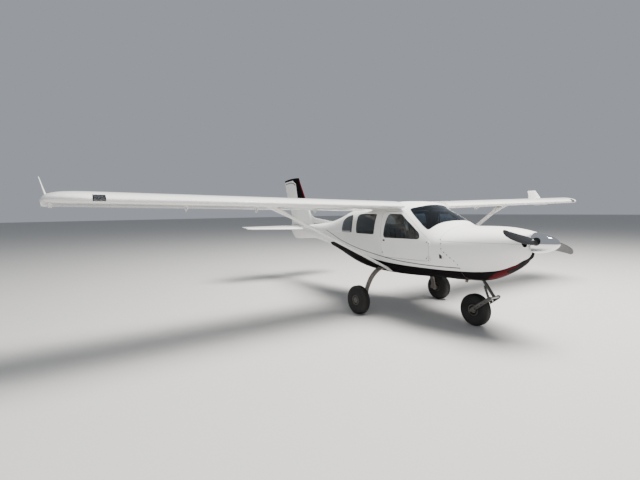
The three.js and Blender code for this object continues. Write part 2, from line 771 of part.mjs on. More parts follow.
const rudderPin = rod(pinAt(RUDDER_PIN_Z), pinAt(RUDDER_BASE_Z + 30), PIN_RADIUS, 10);
place("rudder", union(finWhole.intersect(rudderHinged(0, RUDDER_BASE_Z)), rudderPin), WHITE);

// Tailplane and elevator: a symmetric section set nose down
const TAIL_STATIONS = [
  [40, -2216, -2880, 62],
  [1200, -2452, -2846, 42],
  [TAIL_HALF_SPAN, -2500, -2838, 26],
];
function tailBody(side, margin) {
  const rings = TAIL_STATIONS.map(([y, le, te, thick]) => {
    const half = thick / 2 + margin;
    return [
      [margin / 300, 0],
      [0.06, 0.62],
      [0.2, 0.95],
      [0.38, 1],
      [0.62, 0.8],
      [0.985, 0.12],
      [0.985, -0.12],
      [0.62, -0.8],
      [0.38, -1],
      [0.2, -0.95],
      [0.06, -0.62],
    ].map(([t, s]) => {
      const x = le + (te - le) * t;
      return vec(x, signed(y, side), TAIL_TE_Z - TAIL_RISE * (x - te) + s * half);
    });
  });
  return loft(rings);
}
const ELEVATOR_RADIUS = 25;
function elevatorHinged(side, gap) {
  const outline = hingedOutline(ELEVATOR_RADIUS, gap, 300);
  const ring = (y) => outline.map(([x, z]) => vec(ELEVATOR_X + x, signed(y, side), elevatorZ + z));
  return loft([ring(20), ring(TAIL_HALF_SPAN + 100)]);
}
// Plan view of the room that an elevator half leaves for the swinging rudder and the fuselage
const SWING_ROOM = [
  [ELEVATOR_X + 60, 0],
  [ELEVATOR_X + 60, 82],
  [ELEVATOR_X, 82],
  [-2960, 200],
  [-2960, 0],
];
const elevatorHalves = [];
for (const [word, side] of SIDES) {
  const whole = tailBody(side, 0);
  place("tailplane_" + word, cut(whole, outerGrown, elevatorHinged(side, RUNNING_GAP)), WHITE);
  const swingRoom = planPrism(
    SWING_ROOM.map(([x, y]) => [x, signed(y, side)]),
    900,
    1500,
  );
  elevatorHalves.push(cut(whole.intersect(elevatorHinged(side, 0)), swingRoom));
}
const TUBE_HALF = 140;
const torqueTube = rod(
  vec(ELEVATOR_X, -TUBE_HALF, elevatorZ),
  vec(ELEVATOR_X, TUBE_HALF, elevatorZ),
  TORQUE_TUBE,
  TUBE_SIDES,
);
place("elevator", union(...elevatorHalves, torqueTube), WHITE);

// Main gear: a curved leaf with the axle, the brake, the wheel and the tyre
const LEAF = [
  [400, 668],
  [470, 655],
  [548, 612],
  [628, 540],
  [694, 440],
  [738, 330],
  [762, 200],
];
function wheelRing(points, centre, sides) {
  const geometry = new THREE.LatheGeometry(
    points.map(([r, y]) => new THREE.Vector2(r / Math.cos(Math.PI / sides), y)),
    sides,
    Math.PI / sides,
  );
  geometry.translate(centre.x, centre.y, centre.z);
  return solidOf(geometry);
}
const TYRE_SIDES = 24;
function tyreProfile(radius, width) {
  const half = width / 2;
  return [
    [RIM_RADIUS + SEAT_GAP, -half + 22],
    [radius - 95, -half + 4],
    [radius - 52, -half],
    [radius - 17, -half + 16],
    [radius, -half + 48],
    [radius, half - 48],
    [radius - 17, half - 16],
    [radius - 52, half],
    [radius - 95, half - 4],
    [RIM_RADIUS + SEAT_GAP, half - 22],
    [RIM_RADIUS + SEAT_GAP, -half + 22],
  ];
}
const AXLE_RADIUS = 17;
const HUB_BORE = AXLE_RADIUS + 0.4;
function rimProfile(width) {
  const half = width / 2 - 14;
  return [
    [HUB_BORE, -half + 6],
    [42, -half + 6],
    [46, -half + 26],
    [64, -half],
    [RIM_RADIUS, -half],
    [RIM_RADIUS, half],
    [64, half],
    [46, half - 26],
    [42, half - 6],
    [HUB_BORE, half - 6],
    [HUB_BORE, -half + 6],
  ];
}
const HUB_IN = 762;
const AXLE_OUT = 62;
const BRAKE = { inner: 778, outer: 796, radius: 46 };
const CALIPER = { rear: 95, front: 38, half: 28, inner: 782, outer: 804 };
for (const [word, side] of SIDES) {
  const rings = LEAF.map(([y, z], i) => {
    const before = LEAF[Math.max(i - 1, 0)];
    const after = LEAF[Math.min(i + 1, LEAF.length - 1)];
    const along = new THREE.Vector2(after[0] - before[0], after[1] - before[1]).normalize();
    const [half, thick] = [55 - 3 * i, 14 - 0.5 * i];
    const corner = (a, b) =>
      vec(AXLE_X + a * half, signed(y - b * thick * along.y, side), z + b * thick * along.x);
    return [corner(-1, -1), corner(1, -1), corner(1, 1), corner(-1, 1)];
  });
  const leaf = cut(loft(rings), outerGrown);
  const hub = vec(AXLE_X, signed(HUB_IN, side), TYRE_RADIUS);
  const tip = vec(AXLE_X, signed(HALF_TRACK + AXLE_OUT, side), TYRE_RADIUS);
  place("main_leg_" + word, union(leaf, rod(hub, tip, AXLE_RADIUS, 16)), STEEL);
  const plateIn = vec(AXLE_X, signed(BRAKE.inner, side), TYRE_RADIUS);
  const plateOut = vec(AXLE_X, signed(BRAKE.outer, side), TYRE_RADIUS);
  const caliper = block(
    [AXLE_X - CALIPER.rear, signed(CALIPER.inner, side), TYRE_RADIUS - CALIPER.half],
    [AXLE_X - CALIPER.front, signed(CALIPER.outer, side), TYRE_RADIUS + CALIPER.half],
  );
  const brake = cut(
    union(rod(plateIn, plateOut, BRAKE.radius, 20), caliper),
    rod(hub, tip, AXLE_RADIUS + SEAT_GAP, 16),
    loft(rings.map((ring) => ring.map((p) => p.clone().add(vec(0, signed(SEAT_GAP, side), 0))))),
  );
  place("brake_" + word, brake, DARK);
  const centre = vec(AXLE_X, signed(HALF_TRACK, side), TYRE_RADIUS);
  place("wheel_" + word, wheelRing(rimProfile(TYRE_WIDTH), centre, TYRE_SIDES), DARK);
  place("tyre_" + word, wheelRing(tyreProfile(TYRE_RADIUS, TYRE_WIDTH), centre, TYRE_SIDES), RUBBER);
}

// Nose gear: a bent leg, its shock strut and a trailing fork
const PIVOT = vec(2436, 0, 428);
const LEG_BEND = vec(STEER_X, 0, 640);
const LEG_RADIUS = 21;
const legDirection = PIVOT.clone().sub(LEG_BEND).normalize();
const legEnd = PIVOT.clone().addScaledVector(legDirection, -5);
const legRoomEnd = legEnd.clone().addScaledVector(legDirection, SEAT_GAP);
const legRoom = rod(LEG_BEND, legRoomEnd, LEG_RADIUS + SEAT_GAP, 16);
const UPRIGHT_RADIUS = 26;
const COLLAR_RADIUS = 34;
place(
  "nose_leg",
  union(
    rod(vec(STEER_X, 0, LEG_TOP_Z - SEAT_GAP), vec(STEER_X, 0, LEG_BEND.z - 12), UPRIGHT_RADIUS, 16),
    rod(LEG_BEND, legEnd, LEG_RADIUS, 16),
    rod(vec(STEER_X, 0, LEG_BEND.z + 20), vec(STEER_X, 0, LEG_BEND.z - 18), COLLAR_RADIUS, 16),
  ),
  STEEL,
);
const FORK_Y = 92;
const ARM_HALF = 6;
const PIVOT_RADIUS = 14;
const SHOCK_PIN_RADIUS = 11;
const armOutline = [
  [NOSE_AXLE_X - 26, 205],
  [NOSE_AXLE_X + 4, 188],
  [PIVOT.x + 18, PIVOT.z - 18],
  [PIVOT.x + 22, PIVOT.z + 14],
  [PIVOT.x - 10, PIVOT.z + 22],
  [NOSE_AXLE_X - 14, 242],
];
const arms = [-1, 1].map((side) =>
  sidePrism(armOutline, signed(FORK_Y - ARM_HALF, side), signed(FORK_Y + ARM_HALF, side)),
);
const noseAxle = vec(NOSE_AXLE_X, 0, NOSE_TYRE_RADIUS);
const across = (x, z, radius) => rod(vec(x, -FORK_Y, z), vec(x, FORK_Y, z), radius, 14);
const SHOCK_FOOT = vec(2358, 0, 380);
place(
  "nose_fork",
  cut(
    union(
      ...arms,
      across(PIVOT.x, PIVOT.z, PIVOT_RADIUS),
      across(SHOCK_FOOT.x, SHOCK_FOOT.z, SHOCK_PIN_RADIUS),
      across(NOSE_AXLE_X, NOSE_TYRE_RADIUS, AXLE_RADIUS),
    ),
    legRoom,
  ),
  STEEL,
);
const SHOCK_TOP = vec(2288, 0, 560);
const SHOCK_END = vec(2350, 0, 404);
const SHOCK_RADIUS = 16;
place(
  "nose_shock",
  cut(
    rod(SHOCK_TOP, SHOCK_END, SHOCK_RADIUS, 12),
    legRoom,
    across(SHOCK_FOOT.x, SHOCK_FOOT.z, SHOCK_PIN_RADIUS + SEAT_GAP),
  ),
  CHROME,
);
place("nose_wheel", wheelRing(rimProfile(NOSE_TYRE_WIDTH), noseAxle, TYRE_SIDES), DARK);
place("nose_tyre", wheelRing(tyreProfile(NOSE_TYRE_RADIUS, NOSE_TYRE_WIDTH), noseAxle, TYRE_SIDES), RUBBER);

// Propeller: distance out, chord, thickness, pitch angle and sweep of each blade section
const BLADE_STATIONS = [
  [45, 70, 34, 50, 0],
  [110, 84, 26, 44, 4],
  [240, 112, 18, 33, 12],
  [420, 108, 13, 23, 20],
  [620, 88, 9, 16, 16],
  [725, 66, 6, 14, 6],
  [PROP_RADIUS, 30, 4, 13, 0],
];
function blade(turn) {
  const outward = vec(0, Math.cos(turn), Math.sin(turn));
  const tangent = vec(0, -Math.sin(turn), Math.cos(turn));
  const rings = BLADE_STATIONS.map(([r, chord, thick, pitch, sweep]) => {
    const p = THREE.MathUtils.degToRad(pitch);
    return Array.from({ length: 12 }, (_, i) => {
      const angle = (2 * Math.PI * i) / 12;
      const [a, b] = [(chord / 2) * Math.cos(angle), (thick / 2) * Math.sin(angle)];
      const along = a * Math.cos(p) - b * Math.sin(p) + sweep;
      const ahead = a * Math.sin(p) + b * Math.cos(p);
      return vec(PROP_X + ahead, 0, PROP_Z).addScaledVector(outward, r).addScaledVector(tangent, along);
    });
  });
  return loft(rings);
}
const BACKPLATE = 6;
const PROP_HUB_RADIUS = 66;
const hubStart = vec(SPINNER_BASE_X + BACKPLATE + SEAT_GAP, 0, PROP_Z);
const propeller = union(
  blade(-BLADE_ANGLE),
  blade(Math.PI - BLADE_ANGLE),
  rod(hubStart, vec(PROP_X + 40, 0, PROP_Z), PROP_HUB_RADIUS, 20),
);
place("propeller", propeller, DARK);
const SPINNER_LENGTH = HALF_LENGTH - SPINNER_BASE_X;
const SPINNER_STEPS = [0, 0.22, 0.42, 0.62, 0.8, 0.93];
const spinnerRadius = (t) => SPINNER_RADIUS * (1 - t ** 1.9) ** 0.56;
const SPINNER_WALL = 6;
const spinnerOutline = SPINNER_STEPS.map((t) => [spinnerRadius(t), SPINNER_LENGTH * t]);
const spinnerInside = SPINNER_STEPS.map((t) => {
  const reach = SPINNER_LENGTH - BACKPLATE - 2 * SPINNER_WALL;
  return [spinnerRadius(t) - SPINNER_WALL * (1 + t), BACKPLATE + reach * t];
});
function lathe(points) {
  const geometry = new THREE.LatheGeometry(points.map(([r, h]) => new THREE.Vector2(r, h)), 20);
  geometry.rotateZ(-Math.PI / 2);
  geometry.translate(SPINNER_BASE_X, 0, PROP_Z);
  return solidOf(geometry);
}
const spinnerSolid = lathe([[0, 0], ...spinnerOutline, [0, SPINNER_LENGTH]]);
const spinnerHollow = lathe([[0, BACKPLATE], ...spinnerInside, [0, SPINNER_LENGTH - 4 * SPINNER_WALL]]);
const BLADE_HOLE_RADIUS = 48;
const bladeHoles = [-BLADE_ANGLE, Math.PI - BLADE_ANGLE].map((turn) => {
  const out = vec(0, Math.cos(turn), Math.sin(turn));
  const at = (r) => vec(PROP_X, 0, PROP_Z).addScaledVector(out, r);
  return rod(at(50), at(200), BLADE_HOLE_RADIUS, 16);
});
place("spinner", cut(spinnerSolid, spinnerHollow, ...bladeHoles), CHROME);

// Cabin: floor, seats, panel and stick
const FLOOR_Z = 655;
const FLOOR_THICKNESS = 14;
const floorRoom = block(
  [CABIN_REAR + 20, -SIDE_REACH, FLOOR_Z - FLOOR_THICKNESS],
  [FIREWALL_REAR - 20, SIDE_REACH, FLOOR_Z],
);
place("cabin_floor", innerFree.intersect(floorRoom), TRIM);
const SEAT_PROFILE = [
  [905, FLOOR_Z + SEAT_GAP],
  [1410, FLOOR_Z + SEAT_GAP],
  [1430, 880],
  [1400, 905],
  [1040, 870],
  [930, 1330],
  [890, 1350],
  [845, 1330],
];
const SEAT_Y = [50, 455];
for (const [word, side] of SIDES) {
  const seat = sidePrism(SEAT_PROFILE, ...SEAT_Y.map((y) => signed(y, side)));
  place("seat_" + word, seat.intersect(innerFree), TRIM);
}
const PANEL = { rear: 1836, front: 1866, low: 990, high: 1318 };
const panelRoom = block([PANEL.rear, -SIDE_REACH, PANEL.low], [PANEL.front, SIDE_REACH, PANEL.high]);
const COAMING = { rear: 1772, front: 1902, low: 1300, high: 1322, half: 410 };
const coaming = block(
  [COAMING.rear, -COAMING.half, COAMING.low],
  [COAMING.front, COAMING.half, COAMING.high],
);
place("instrument_panel", innerFree.intersect(union(panelRoom, coaming)), DARK);
const TUNNEL = { rear: 1420, front: 1820, half: 45, top: 790 };
const STICK = { foot: vec(1500, 0, 780), top: vec(1560, 0, 1010), radius: 12 };
const HANDLE = { z: 1006, half: 55 };
const handleEnd = (side) => vec(STICK.top.x, signed(HANDLE.half, side), HANDLE.z);
place(
  "control_stick",
  union(
    block([TUNNEL.rear, -TUNNEL.half, FLOOR_Z + SEAT_GAP], [TUNNEL.front, TUNNEL.half, TUNNEL.top]),
    rod(STICK.foot, STICK.top, STICK.radius, 10),
    rod(handleEnd(-1), handleEnd(1), STICK.radius, 10),
  ),
  DARK,
);

export default aircraft;
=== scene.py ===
# %% [markdown]
# This file dresses a light sport aircraft: two seats, a high wing on struts, and a tricycle gear.
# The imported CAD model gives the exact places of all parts. It comes in first, as a frame.
# Every piece made here is in metres in that frame: +X to the nose, +Y to port and +Z up.

# %% Load the frame
import math

import bmesh
import bpy
from mathutils import Matrix, Vector


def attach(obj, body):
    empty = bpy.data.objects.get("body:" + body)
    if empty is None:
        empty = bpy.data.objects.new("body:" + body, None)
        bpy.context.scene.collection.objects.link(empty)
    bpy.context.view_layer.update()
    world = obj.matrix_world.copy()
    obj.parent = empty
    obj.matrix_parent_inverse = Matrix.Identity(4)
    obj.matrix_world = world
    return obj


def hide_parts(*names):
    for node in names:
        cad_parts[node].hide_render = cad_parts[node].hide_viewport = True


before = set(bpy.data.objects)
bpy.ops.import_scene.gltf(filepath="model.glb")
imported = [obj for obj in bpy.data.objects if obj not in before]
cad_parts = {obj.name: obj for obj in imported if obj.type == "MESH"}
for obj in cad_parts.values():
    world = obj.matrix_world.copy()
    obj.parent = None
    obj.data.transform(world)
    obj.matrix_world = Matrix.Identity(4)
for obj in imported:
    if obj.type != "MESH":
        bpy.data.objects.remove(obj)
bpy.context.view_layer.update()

# %% [markdown]
# The camera stands low, in front of the starboard wing, as in the photograph.
# A wide lens makes the near wing long and the tail small, so the lens counts as much as the place.
# Its angles are set directly, because a Track To constraint couldn't give the slight roll of a held camera.

# %% Camera
PHOTO_WIDTH = 640
SENSOR_WIDTH = 36.0
FOCAL_PIXELS = 403.0
CAMERA_PLACE = Vector((5.515, -4.629, 1.567))
CAMERA_YAW = 2.5699
CAMERA_PITCH = -0.0732
CAMERA_ROLL = -0.0122


def photo_camera():
    """The camera, from its yaw, pitch and roll."""
    cos_pitch = math.cos(CAMERA_PITCH)
    heading = (math.cos(CAMERA_YAW), math.sin(CAMERA_YAW))
    ahead = Vector((cos_pitch * heading[0], cos_pitch * heading[1], math.sin(CAMERA_PITCH)))
    level = Vector((heading[1], -heading[0], 0))
    above = level.cross(ahead)
    right = level * math.cos(CAMERA_ROLL) + above * math.sin(CAMERA_ROLL)
    up = above * math.cos(CAMERA_ROLL) - level * math.sin(CAMERA_ROLL)
    lens = bpy.data.cameras.new("photo_camera")
    lens.sensor_width = SENSOR_WIDTH
    lens.lens = FOCAL_PIXELS * SENSOR_WIDTH / PHOTO_WIDTH
    lens.clip_end = 500
    camera = bpy.data.objects.new("photo_camera", lens)
    turn = Matrix((right, up, -ahead)).transposed().to_4x4()
    camera.matrix_world = Matrix.Translation(CAMERA_PLACE) @ turn
    bpy.context.scene.collection.objects.link(camera)
    bpy.context.scene.camera = camera
    return camera


print("Lens:", round(photo_camera().data.lens, 1), "mm")

# %% [markdown]
# An aircraft's skin is a set of cross sections with a surface drawn over them, which modellers call a loft.
# The helpers below make a mesh from points, close a loft with caps, and sweep or turn simple profiles.
# Plain lists of points keep each form exact, and a formula can refine it.

# %% Meshes from points
def mesh_piece(name, points, faces):
    """A mesh object at the origin, with its faces pointing out."""
    mesh = bpy.data.meshes.new(name)
    mesh.from_pydata([tuple(point) for point in points], [], faces)
    work = bmesh.new()
    work.from_mesh(mesh)
    bmesh.ops.recalc_face_normals(work, faces=work.faces)
    work.to_mesh(mesh)
    work.free()
    piece = bpy.data.objects.new(name, mesh)
    bpy.context.scene.collection.objects.link(piece)
    return piece


def loft(name, rings, looped=False):
    """A skin over rings with the same number of points, closed by two caps or looped back to its start."""
    count = len(rings[0])
    points = [point for ring in rings for point in ring]
    faces = []
    if not looped:
        faces = [tuple(range(count)), tuple(len(points) - count + i for i in range(count))]
    for r in range(len(rings) if looped else len(rings) - 1):
        after = (r + 1) % len(rings)
        for i in range(count):
            j = (i + 1) % count
            faces.append((r * count + i, r * count + j, after * count + j, after * count + i))
    return mesh_piece(name, points, faces)


def prism(name, outline, low, high, across="Y"):
    """An outline extruded from low to high: (x, z) points across Y, or (x, y) points across Z."""
    if across == "Y":
        rings = [[Vector((x, level, z)) for x, z in outline] for level in (low, high)]
    else:
        rings = [[Vector((x, y, level)) for x, y in outline] for level in (low, high)]
    return loft(name, rings)


def block(name, low, high):
    """A box between two corners."""
    outline = [(low[0], low[2]), (high[0], low[2]), (high[0], high[2]), (low[0], high[2])]
    return prism(name, outline, low[1], high[1])


# %% Turned and swept forms
FORE = Vector((1, 0, 0))
Y_AXIS = Vector((0, 1, 0))
UP = Vector((0, 0, 1))


def around(count, shift=0):
    """Even angles around a circle."""
    return [2 * math.pi * (i + shift) / count for i in range(count)]


def circle(centre, normal, radius, sides):
    """Points on a circle about a line."""
    turn = normal.to_track_quat("Z", "Y")
    return [centre + turn @ Vector((radius * math.cos(a), radius * math.sin(a), 0)) for a in around(sides)]


def turned(name, foot, axis, profile, sides=32, looped=False):
    """A turned part: (radius, height) rings about an axis."""
    axis = axis.normalized()
    rings = [circle(foot + axis * height, axis, max(radius, 1e-4), sides) for radius, height in profile]
    return loft(name, rings, looped)


def turned_ring(name, foot, axis, profile, sides=48):
    """A turned part with a hole: its profile is a closed loop."""
    return turned(name, foot, axis, profile, sides, looped=True)


def rod(name, start, end, radius, sides=24, end_radius=None):
    """A round bar between two points."""
    start = Vector(start)
    axis = Vector(end) - start
    return turned(name, start, axis, [(radius, 0), (end_radius or radius, axis.length)], sides)


def tube(name, path, radius, sides=16):
    """A round bar along a path of points."""
    path = [Vector(point) for point in path]
    rings = []
    for i, point in enumerate(path):
        along = path[min(i + 1, len(path) - 1)] - path[max(i - 1, 0)]
        side = Y_AXIS if abs(along.normalized().y) < 0.9 else FORE
        across = along.cross(side).normalized()
        beside = across.cross(along).normalized()
        rings.append([point + (across * math.cos(a) + beside * math.sin(a)) * radius for a in around(sides)])
    return loft(name, rings)


# %% [markdown]
# Doors and windows are openings in a curved shell. A boolean cuts both the hole and the piece that fills it
# from the same loft, so the panel keeps the curve of the skin around it. The Manifold solver does that fast
# and exactly on closed meshes. The cutting tools are thrown away at the end.

# %% Cutting and finishing
cutting_tools = []


def tool(piece):
    """Marks a mesh as a cutting tool, deleted once all cuts are made."""
    cutting_tools.append(piece)
    return piece


def copy_of(piece, name):
    """A second object with a mesh of its own."""
    twin = bpy.data.objects.new(name, piece.data.copy())
    bpy.context.scene.collection.objects.link(twin)
    return twin


def carve(piece, *cutters, within=None):
    """Keeps what lies within one tool, if it is given, and then takes the others away."""
    rooms = [within] if within else []
    for cutter in [*rooms, *cutters]:
        modifier = piece.modifiers.new("carve", "BOOLEAN")
        modifier.operation = "INTERSECT" if cutter is within else "DIFFERENCE"
        modifier.object = cutter
        modifier.solver = "MANIFOLD"
    applied(piece)
    return piece


def applied(piece):
    """Makes the result of a piece's modifiers its mesh."""
    evaluated = piece.evaluated_get(bpy.context.evaluated_depsgraph_get())
    mesh = bpy.data.meshes.new_from_object(evaluated)
    piece.modifiers.clear()
    piece.data = mesh
    return piece


def rounded_edges(piece, width, segments=3, angle=35):
    """Rounds the sharp edges of a piece."""
    modifier = piece.modifiers.new("round", "BEVEL")
    modifier.width = width
    modifier.segments = segments
    modifier.limit_method = "ANGLE"
    modifier.angle_limit = math.radians(angle)
    return applied(piece)


def shaded(piece, angle=32):
    """Smooth shading that keeps the corners sharp."""
    piece.data.shade_smooth()
    piece.data.set_sharp_from_angle(angle=math.radians(angle))
    return piece


def joined(name, pieces):
    """One piece made of several, each with its own materials."""
    work = bmesh.new()
    materials = []
    for piece in pieces:
        before = len(work.faces)
        work.from_mesh(piece.data)
        work.faces.ensure_lookup_table()
        own = list(piece.data.materials)
        for material in own:
            if material not in materials:
                materials.append(material)
        for face in work.faces[before:]:
            if own:
                face.material_index = materials.index(own[min(face.material_index, len(own) - 1)])
    mesh = bpy.data.meshes.new(name)
    work.to_mesh(mesh)
    work.free()
    for material in materials:
        mesh.materials.append(material)
    whole = bpy.data.objects.new(name, mesh)
    bpy.context.scene.collection.objects.link(whole)
    for piece in pieces:
        bpy.data.objects.remove(piece)
    return whole


def coated(piece, *materials):
    """Gives a piece its materials."""
    piece.data.materials.clear()
    for material in materials:
        piece.data.materials.append(material)
    return piece


triangle_total = 0


def settled(piece, body, slot, *nodes, angle=32):
    """Shades a finished piece, lets it ride on its body and hides the nodes it stands for. The slot is not
    used.
    """
    global triangle_total
    shaded(piece, angle)
    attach(piece, body)
    if nodes:
        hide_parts(*nodes)
    triangles = sum(len(face.vertices) - 2 for face in piece.data.polygons)
    triangle_total += triangles
    print(piece.name, "has", triangles, "triangles and rides on", body)
    return piece


# %% [markdown]
# Paint, acrylic and rubber are never one flat tone: dust settles low down, and gloss varies over a panel.
# Two node groups hold these effects, and each material uses them with its own strength.
# Both read Object coordinates, which stay fixed to a piece when it moves.

# %% Shared shader groups
def new_group(name, inputs, outputs):
    """An empty shader node group with named sockets, where a tuple stands for a colour."""
    group = bpy.data.node_groups.new(name, "ShaderNodeTree")
    for word, value in inputs.items():
        kind = "NodeSocketColor" if isinstance(value, tuple) else "NodeSocketFloat"
        group.interface.new_socket(word, in_out="INPUT", socket_type=kind).default_value = value
    for word in outputs:
        kind = "NodeSocketColor" if word == "Color" else "NodeSocketFloat"
        group.interface.new_socket(word, in_out="OUTPUT", socket_type=kind)
    return group, group.nodes.new("NodeGroupInput"), group.nodes.new("NodeGroupOutput")


def fed(tree, node, **values):
    """Sets a node's inputs by name, each to a value or to the output of another node."""
    for word, value in values.items():
        socket = node.inputs[word.replace("_", " ")]
        if isinstance(value, bpy.types.NodeSocket):
            tree.links.new(value, socket)
        else:
            socket.default_value = value
    return node


def new_node(tree, kind, group=None, **values):
    """A node with its inputs set."""
    node = tree.nodes.new(kind)
    if group:
        node.node_tree = group
    return fed(tree, node, **values)


def math_node(tree, operation, first, second=0.0, third=0.0):
    """A math node whose inputs are numbers or sockets."""
    node = tree.nodes.new("ShaderNodeMath")
    node.operation = operation
    for index, value in enumerate((first, second, third)):
        if isinstance(value, (int, float)):
            node.inputs[index].default_value = value
        else:
            tree.links.new(value, node.inputs[index])
    return node.outputs[0]


def both(tree, *masks):
    """The product of masks, which is 1 where all of them are."""
    product = masks[0]
    for mask in masks[1:]:
        product = math_node(tree, "MULTIPLY", product, mask)
    return product


def mixed_colour(tree, mask, first, second):
    """A colour between two, by a mask."""
    node = tree.nodes.new("ShaderNodeMix")
    node.data_type = "RGBA"
    tree.links.new(mask, node.inputs["Factor"])
    for socket, value in ((node.inputs[6], first), (node.inputs[7], second)):
        if isinstance(value, tuple):
            socket.default_value = (*value, 1.0)
        else:
            tree.links.new(value, socket)
    return node.outputs[2]


def own_place(tree):
    """The Object coordinates of the piece, and the same split into x, y and z."""
    place = tree.nodes.new("ShaderNodeTexCoord").outputs["Object"]
    split = tree.nodes.new("ShaderNodeSeparateXYZ")
    tree.links.new(place, split.inputs[0])
    return place, split.outputs


def dust_group():
    """Dust: a tone that lies over a colour, in soft patches, more of it low down."""
    inputs = {"Paint": (0.8, 0.8, 0.8, 1), "Dust": (0.36, 0.33, 0.28, 1), "Amount": 0.2, "Clean Above": 1.2}
    group, source, result = new_group("settled_dust", inputs, ("Color", "Mask"))
    given = source.outputs
    place, axes = own_place(group)
    patches = new_node(group, "ShaderNodeTexNoise", Vector=place, Scale=2.4, Detail=6)
    low = new_node(group, "ShaderNodeMapRange", Value=axes[2], From_Min=0, From_Max=given["Clean Above"],
                   To_Min=1, To_Max=0.12)
    low.interpolation_type = "SMOOTHSTEP"
    mask = both(group, patches.outputs["Fac"], low.outputs[0], given["Amount"])
    fed(group, result, Mask=mask, Color=mixed_colour(group, mask, given["Paint"], given["Dust"]))
    return group


def grain_group():
    """Grain: a fine height and a broad tone, both from noise."""
    inputs = {"Scale": 60.0, "Low": 0.25, "High": 0.4}
    group, source, result = new_group("surface_grain", inputs, ("Height", "Gloss"))
    place, _ = own_place(group)
    given = source.outputs
    fine = new_node(group, "ShaderNodeTexNoise", Vector=place, Scale=given["Scale"], Detail=3)
    broad = new_node(group, "ShaderNodeTexNoise", Vector=place, Scale=3.1, Detail=4)
    gloss = new_node(group, "ShaderNodeMapRange", Value=broad.outputs["Fac"], From_Min=0.3, From_Max=0.7,
                     To_Min=given["Low"], To_Max=given["High"])
    fed(group, result, Height=fine.outputs["Fac"], Gloss=gloss.outputs[0])
    return group


DUST = dust_group()
GRAIN = grain_group()
print("Shared groups:", DUST.name, "and", GRAIN.name)

# %% [markdown]
# The paint scheme is a drawing over the side view. A black belly band and a thin stripe rise to the nose
# and to the tail, and a dark red wedge lies under the cowl. Float Curve nodes hold the height of each edge
# along the fuselage, so the lines stay crisp at any distance and need no image.

# %% Paint scheme of the fuselage
WHITE = (0.80, 0.80, 0.78)
BLACK = (0.008, 0.007, 0.008)
DARK_RED = (0.075, 0.004, 0.008)
STRIPE_GREY = (0.07, 0.06, 0.055)
CURVE_X = (-3.3, 3.3)
CURVE_Z = (0.5, 1.5)
BAND_TOP = [(-3.3, 0.5), (-1.02, 0.80), (-0.90, 0.955), (-0.55, 0.985), (-0.08, 0.955), (0.35, 0.882),
            (0.68, 0.816), (0.86, 0.795), (1.2, 0.779), (1.5, 0.774), (2.2, 0.78), (2.44, 0.791),
            (2.6, 0.812), (2.7, 0.846), (2.78, 0.888), (2.82, 0.902), (2.9, 0.92), (3.3, 0.9)]
STRIPE = [(-3.3, 1.24), (-1.3, 1.225), (-0.96, 1.168), (-0.46, 1.062), (-0.1, 1.004), (0.3, 0.945),
          (0.7, 0.895), (0.95, 0.866), (1.2, 0.841), (1.5, 0.826), (1.8, 0.82), (2.3, 0.824), (3.3, 0.83)]
WEDGE_TOP = [(-3.3, 0.5), (2.3, 0.55), (2.43, 0.65), (2.47, 0.7), (2.53, 0.736), (2.58, 0.774),
             (2.63, 0.802), (2.75, 0.865), (2.8, 0.896), (2.815, 0.905), (3.3, 1.0)]
WEDGE_BOTTOM = [(-3.3, 0.5), (2.3, 0.54), (2.56, 0.64), (2.64, 0.745), (2.69, 0.815), (2.72, 0.83),
                (2.758, 0.854), (2.79, 0.881), (2.815, 0.908), (2.85, 0.96), (3.3, 1.1)]
# Ahead of CHIN_FROM the band is a strip about the keel, whose half width shrinks towards the nose
CHIN_FROM = 2.78
CHIN_HALF = 0.137
CHIN_TAPER = 0.72
CHIN_CEILING = 1.1
STRIPE_HALF = 0.0065
STRIPE_REACH = (-1.05, 2.24)
COAT = 0.5
DARK_COAT = 0.05
EDGE_SOFTNESS = 0.0012


def curve_node(tree, x_socket, points):
    """The height that a drawn line has at x, from a Float Curve."""
    span = new_node(tree, "ShaderNodeMapRange", Value=x_socket, From_Min=CURVE_X[0], From_Max=CURVE_X[1])
    drawn = new_node(tree, "ShaderNodeFloatCurve", Value=span.outputs[0])
    line = drawn.mapping.curves[0]
    while len(line.points) < len(points):
        line.points.new(0.5, 0.5)
    for point, (x, z) in zip(line.points, points):
        share = (x - CURVE_X[0]) / (CURVE_X[1] - CURVE_X[0])
        point.location = (share, (z - CURVE_Z[0]) / (CURVE_Z[1] - CURVE_Z[0]))
        point.handle_type = "AUTO_CLAMPED"
    drawn.mapping.update()
    return math_node(tree, "MULTIPLY_ADD", drawn.outputs[0], CURVE_Z[1] - CURVE_Z[0], CURVE_Z[0])


def below(tree, value, edge):
    """A mask that is 1 where value is under edge."""
    room = math_node(tree, "SUBTRACT", edge, value)
    step = new_node(tree, "ShaderNodeMapRange", Value=room, From_Min=-EDGE_SOFTNESS, From_Max=EDGE_SOFTNESS)
    step.interpolation_type = "SMOOTHSTEP"
    return step.outputs[0]


SCHEME_OUTPUTS = ("Color", "Coat")


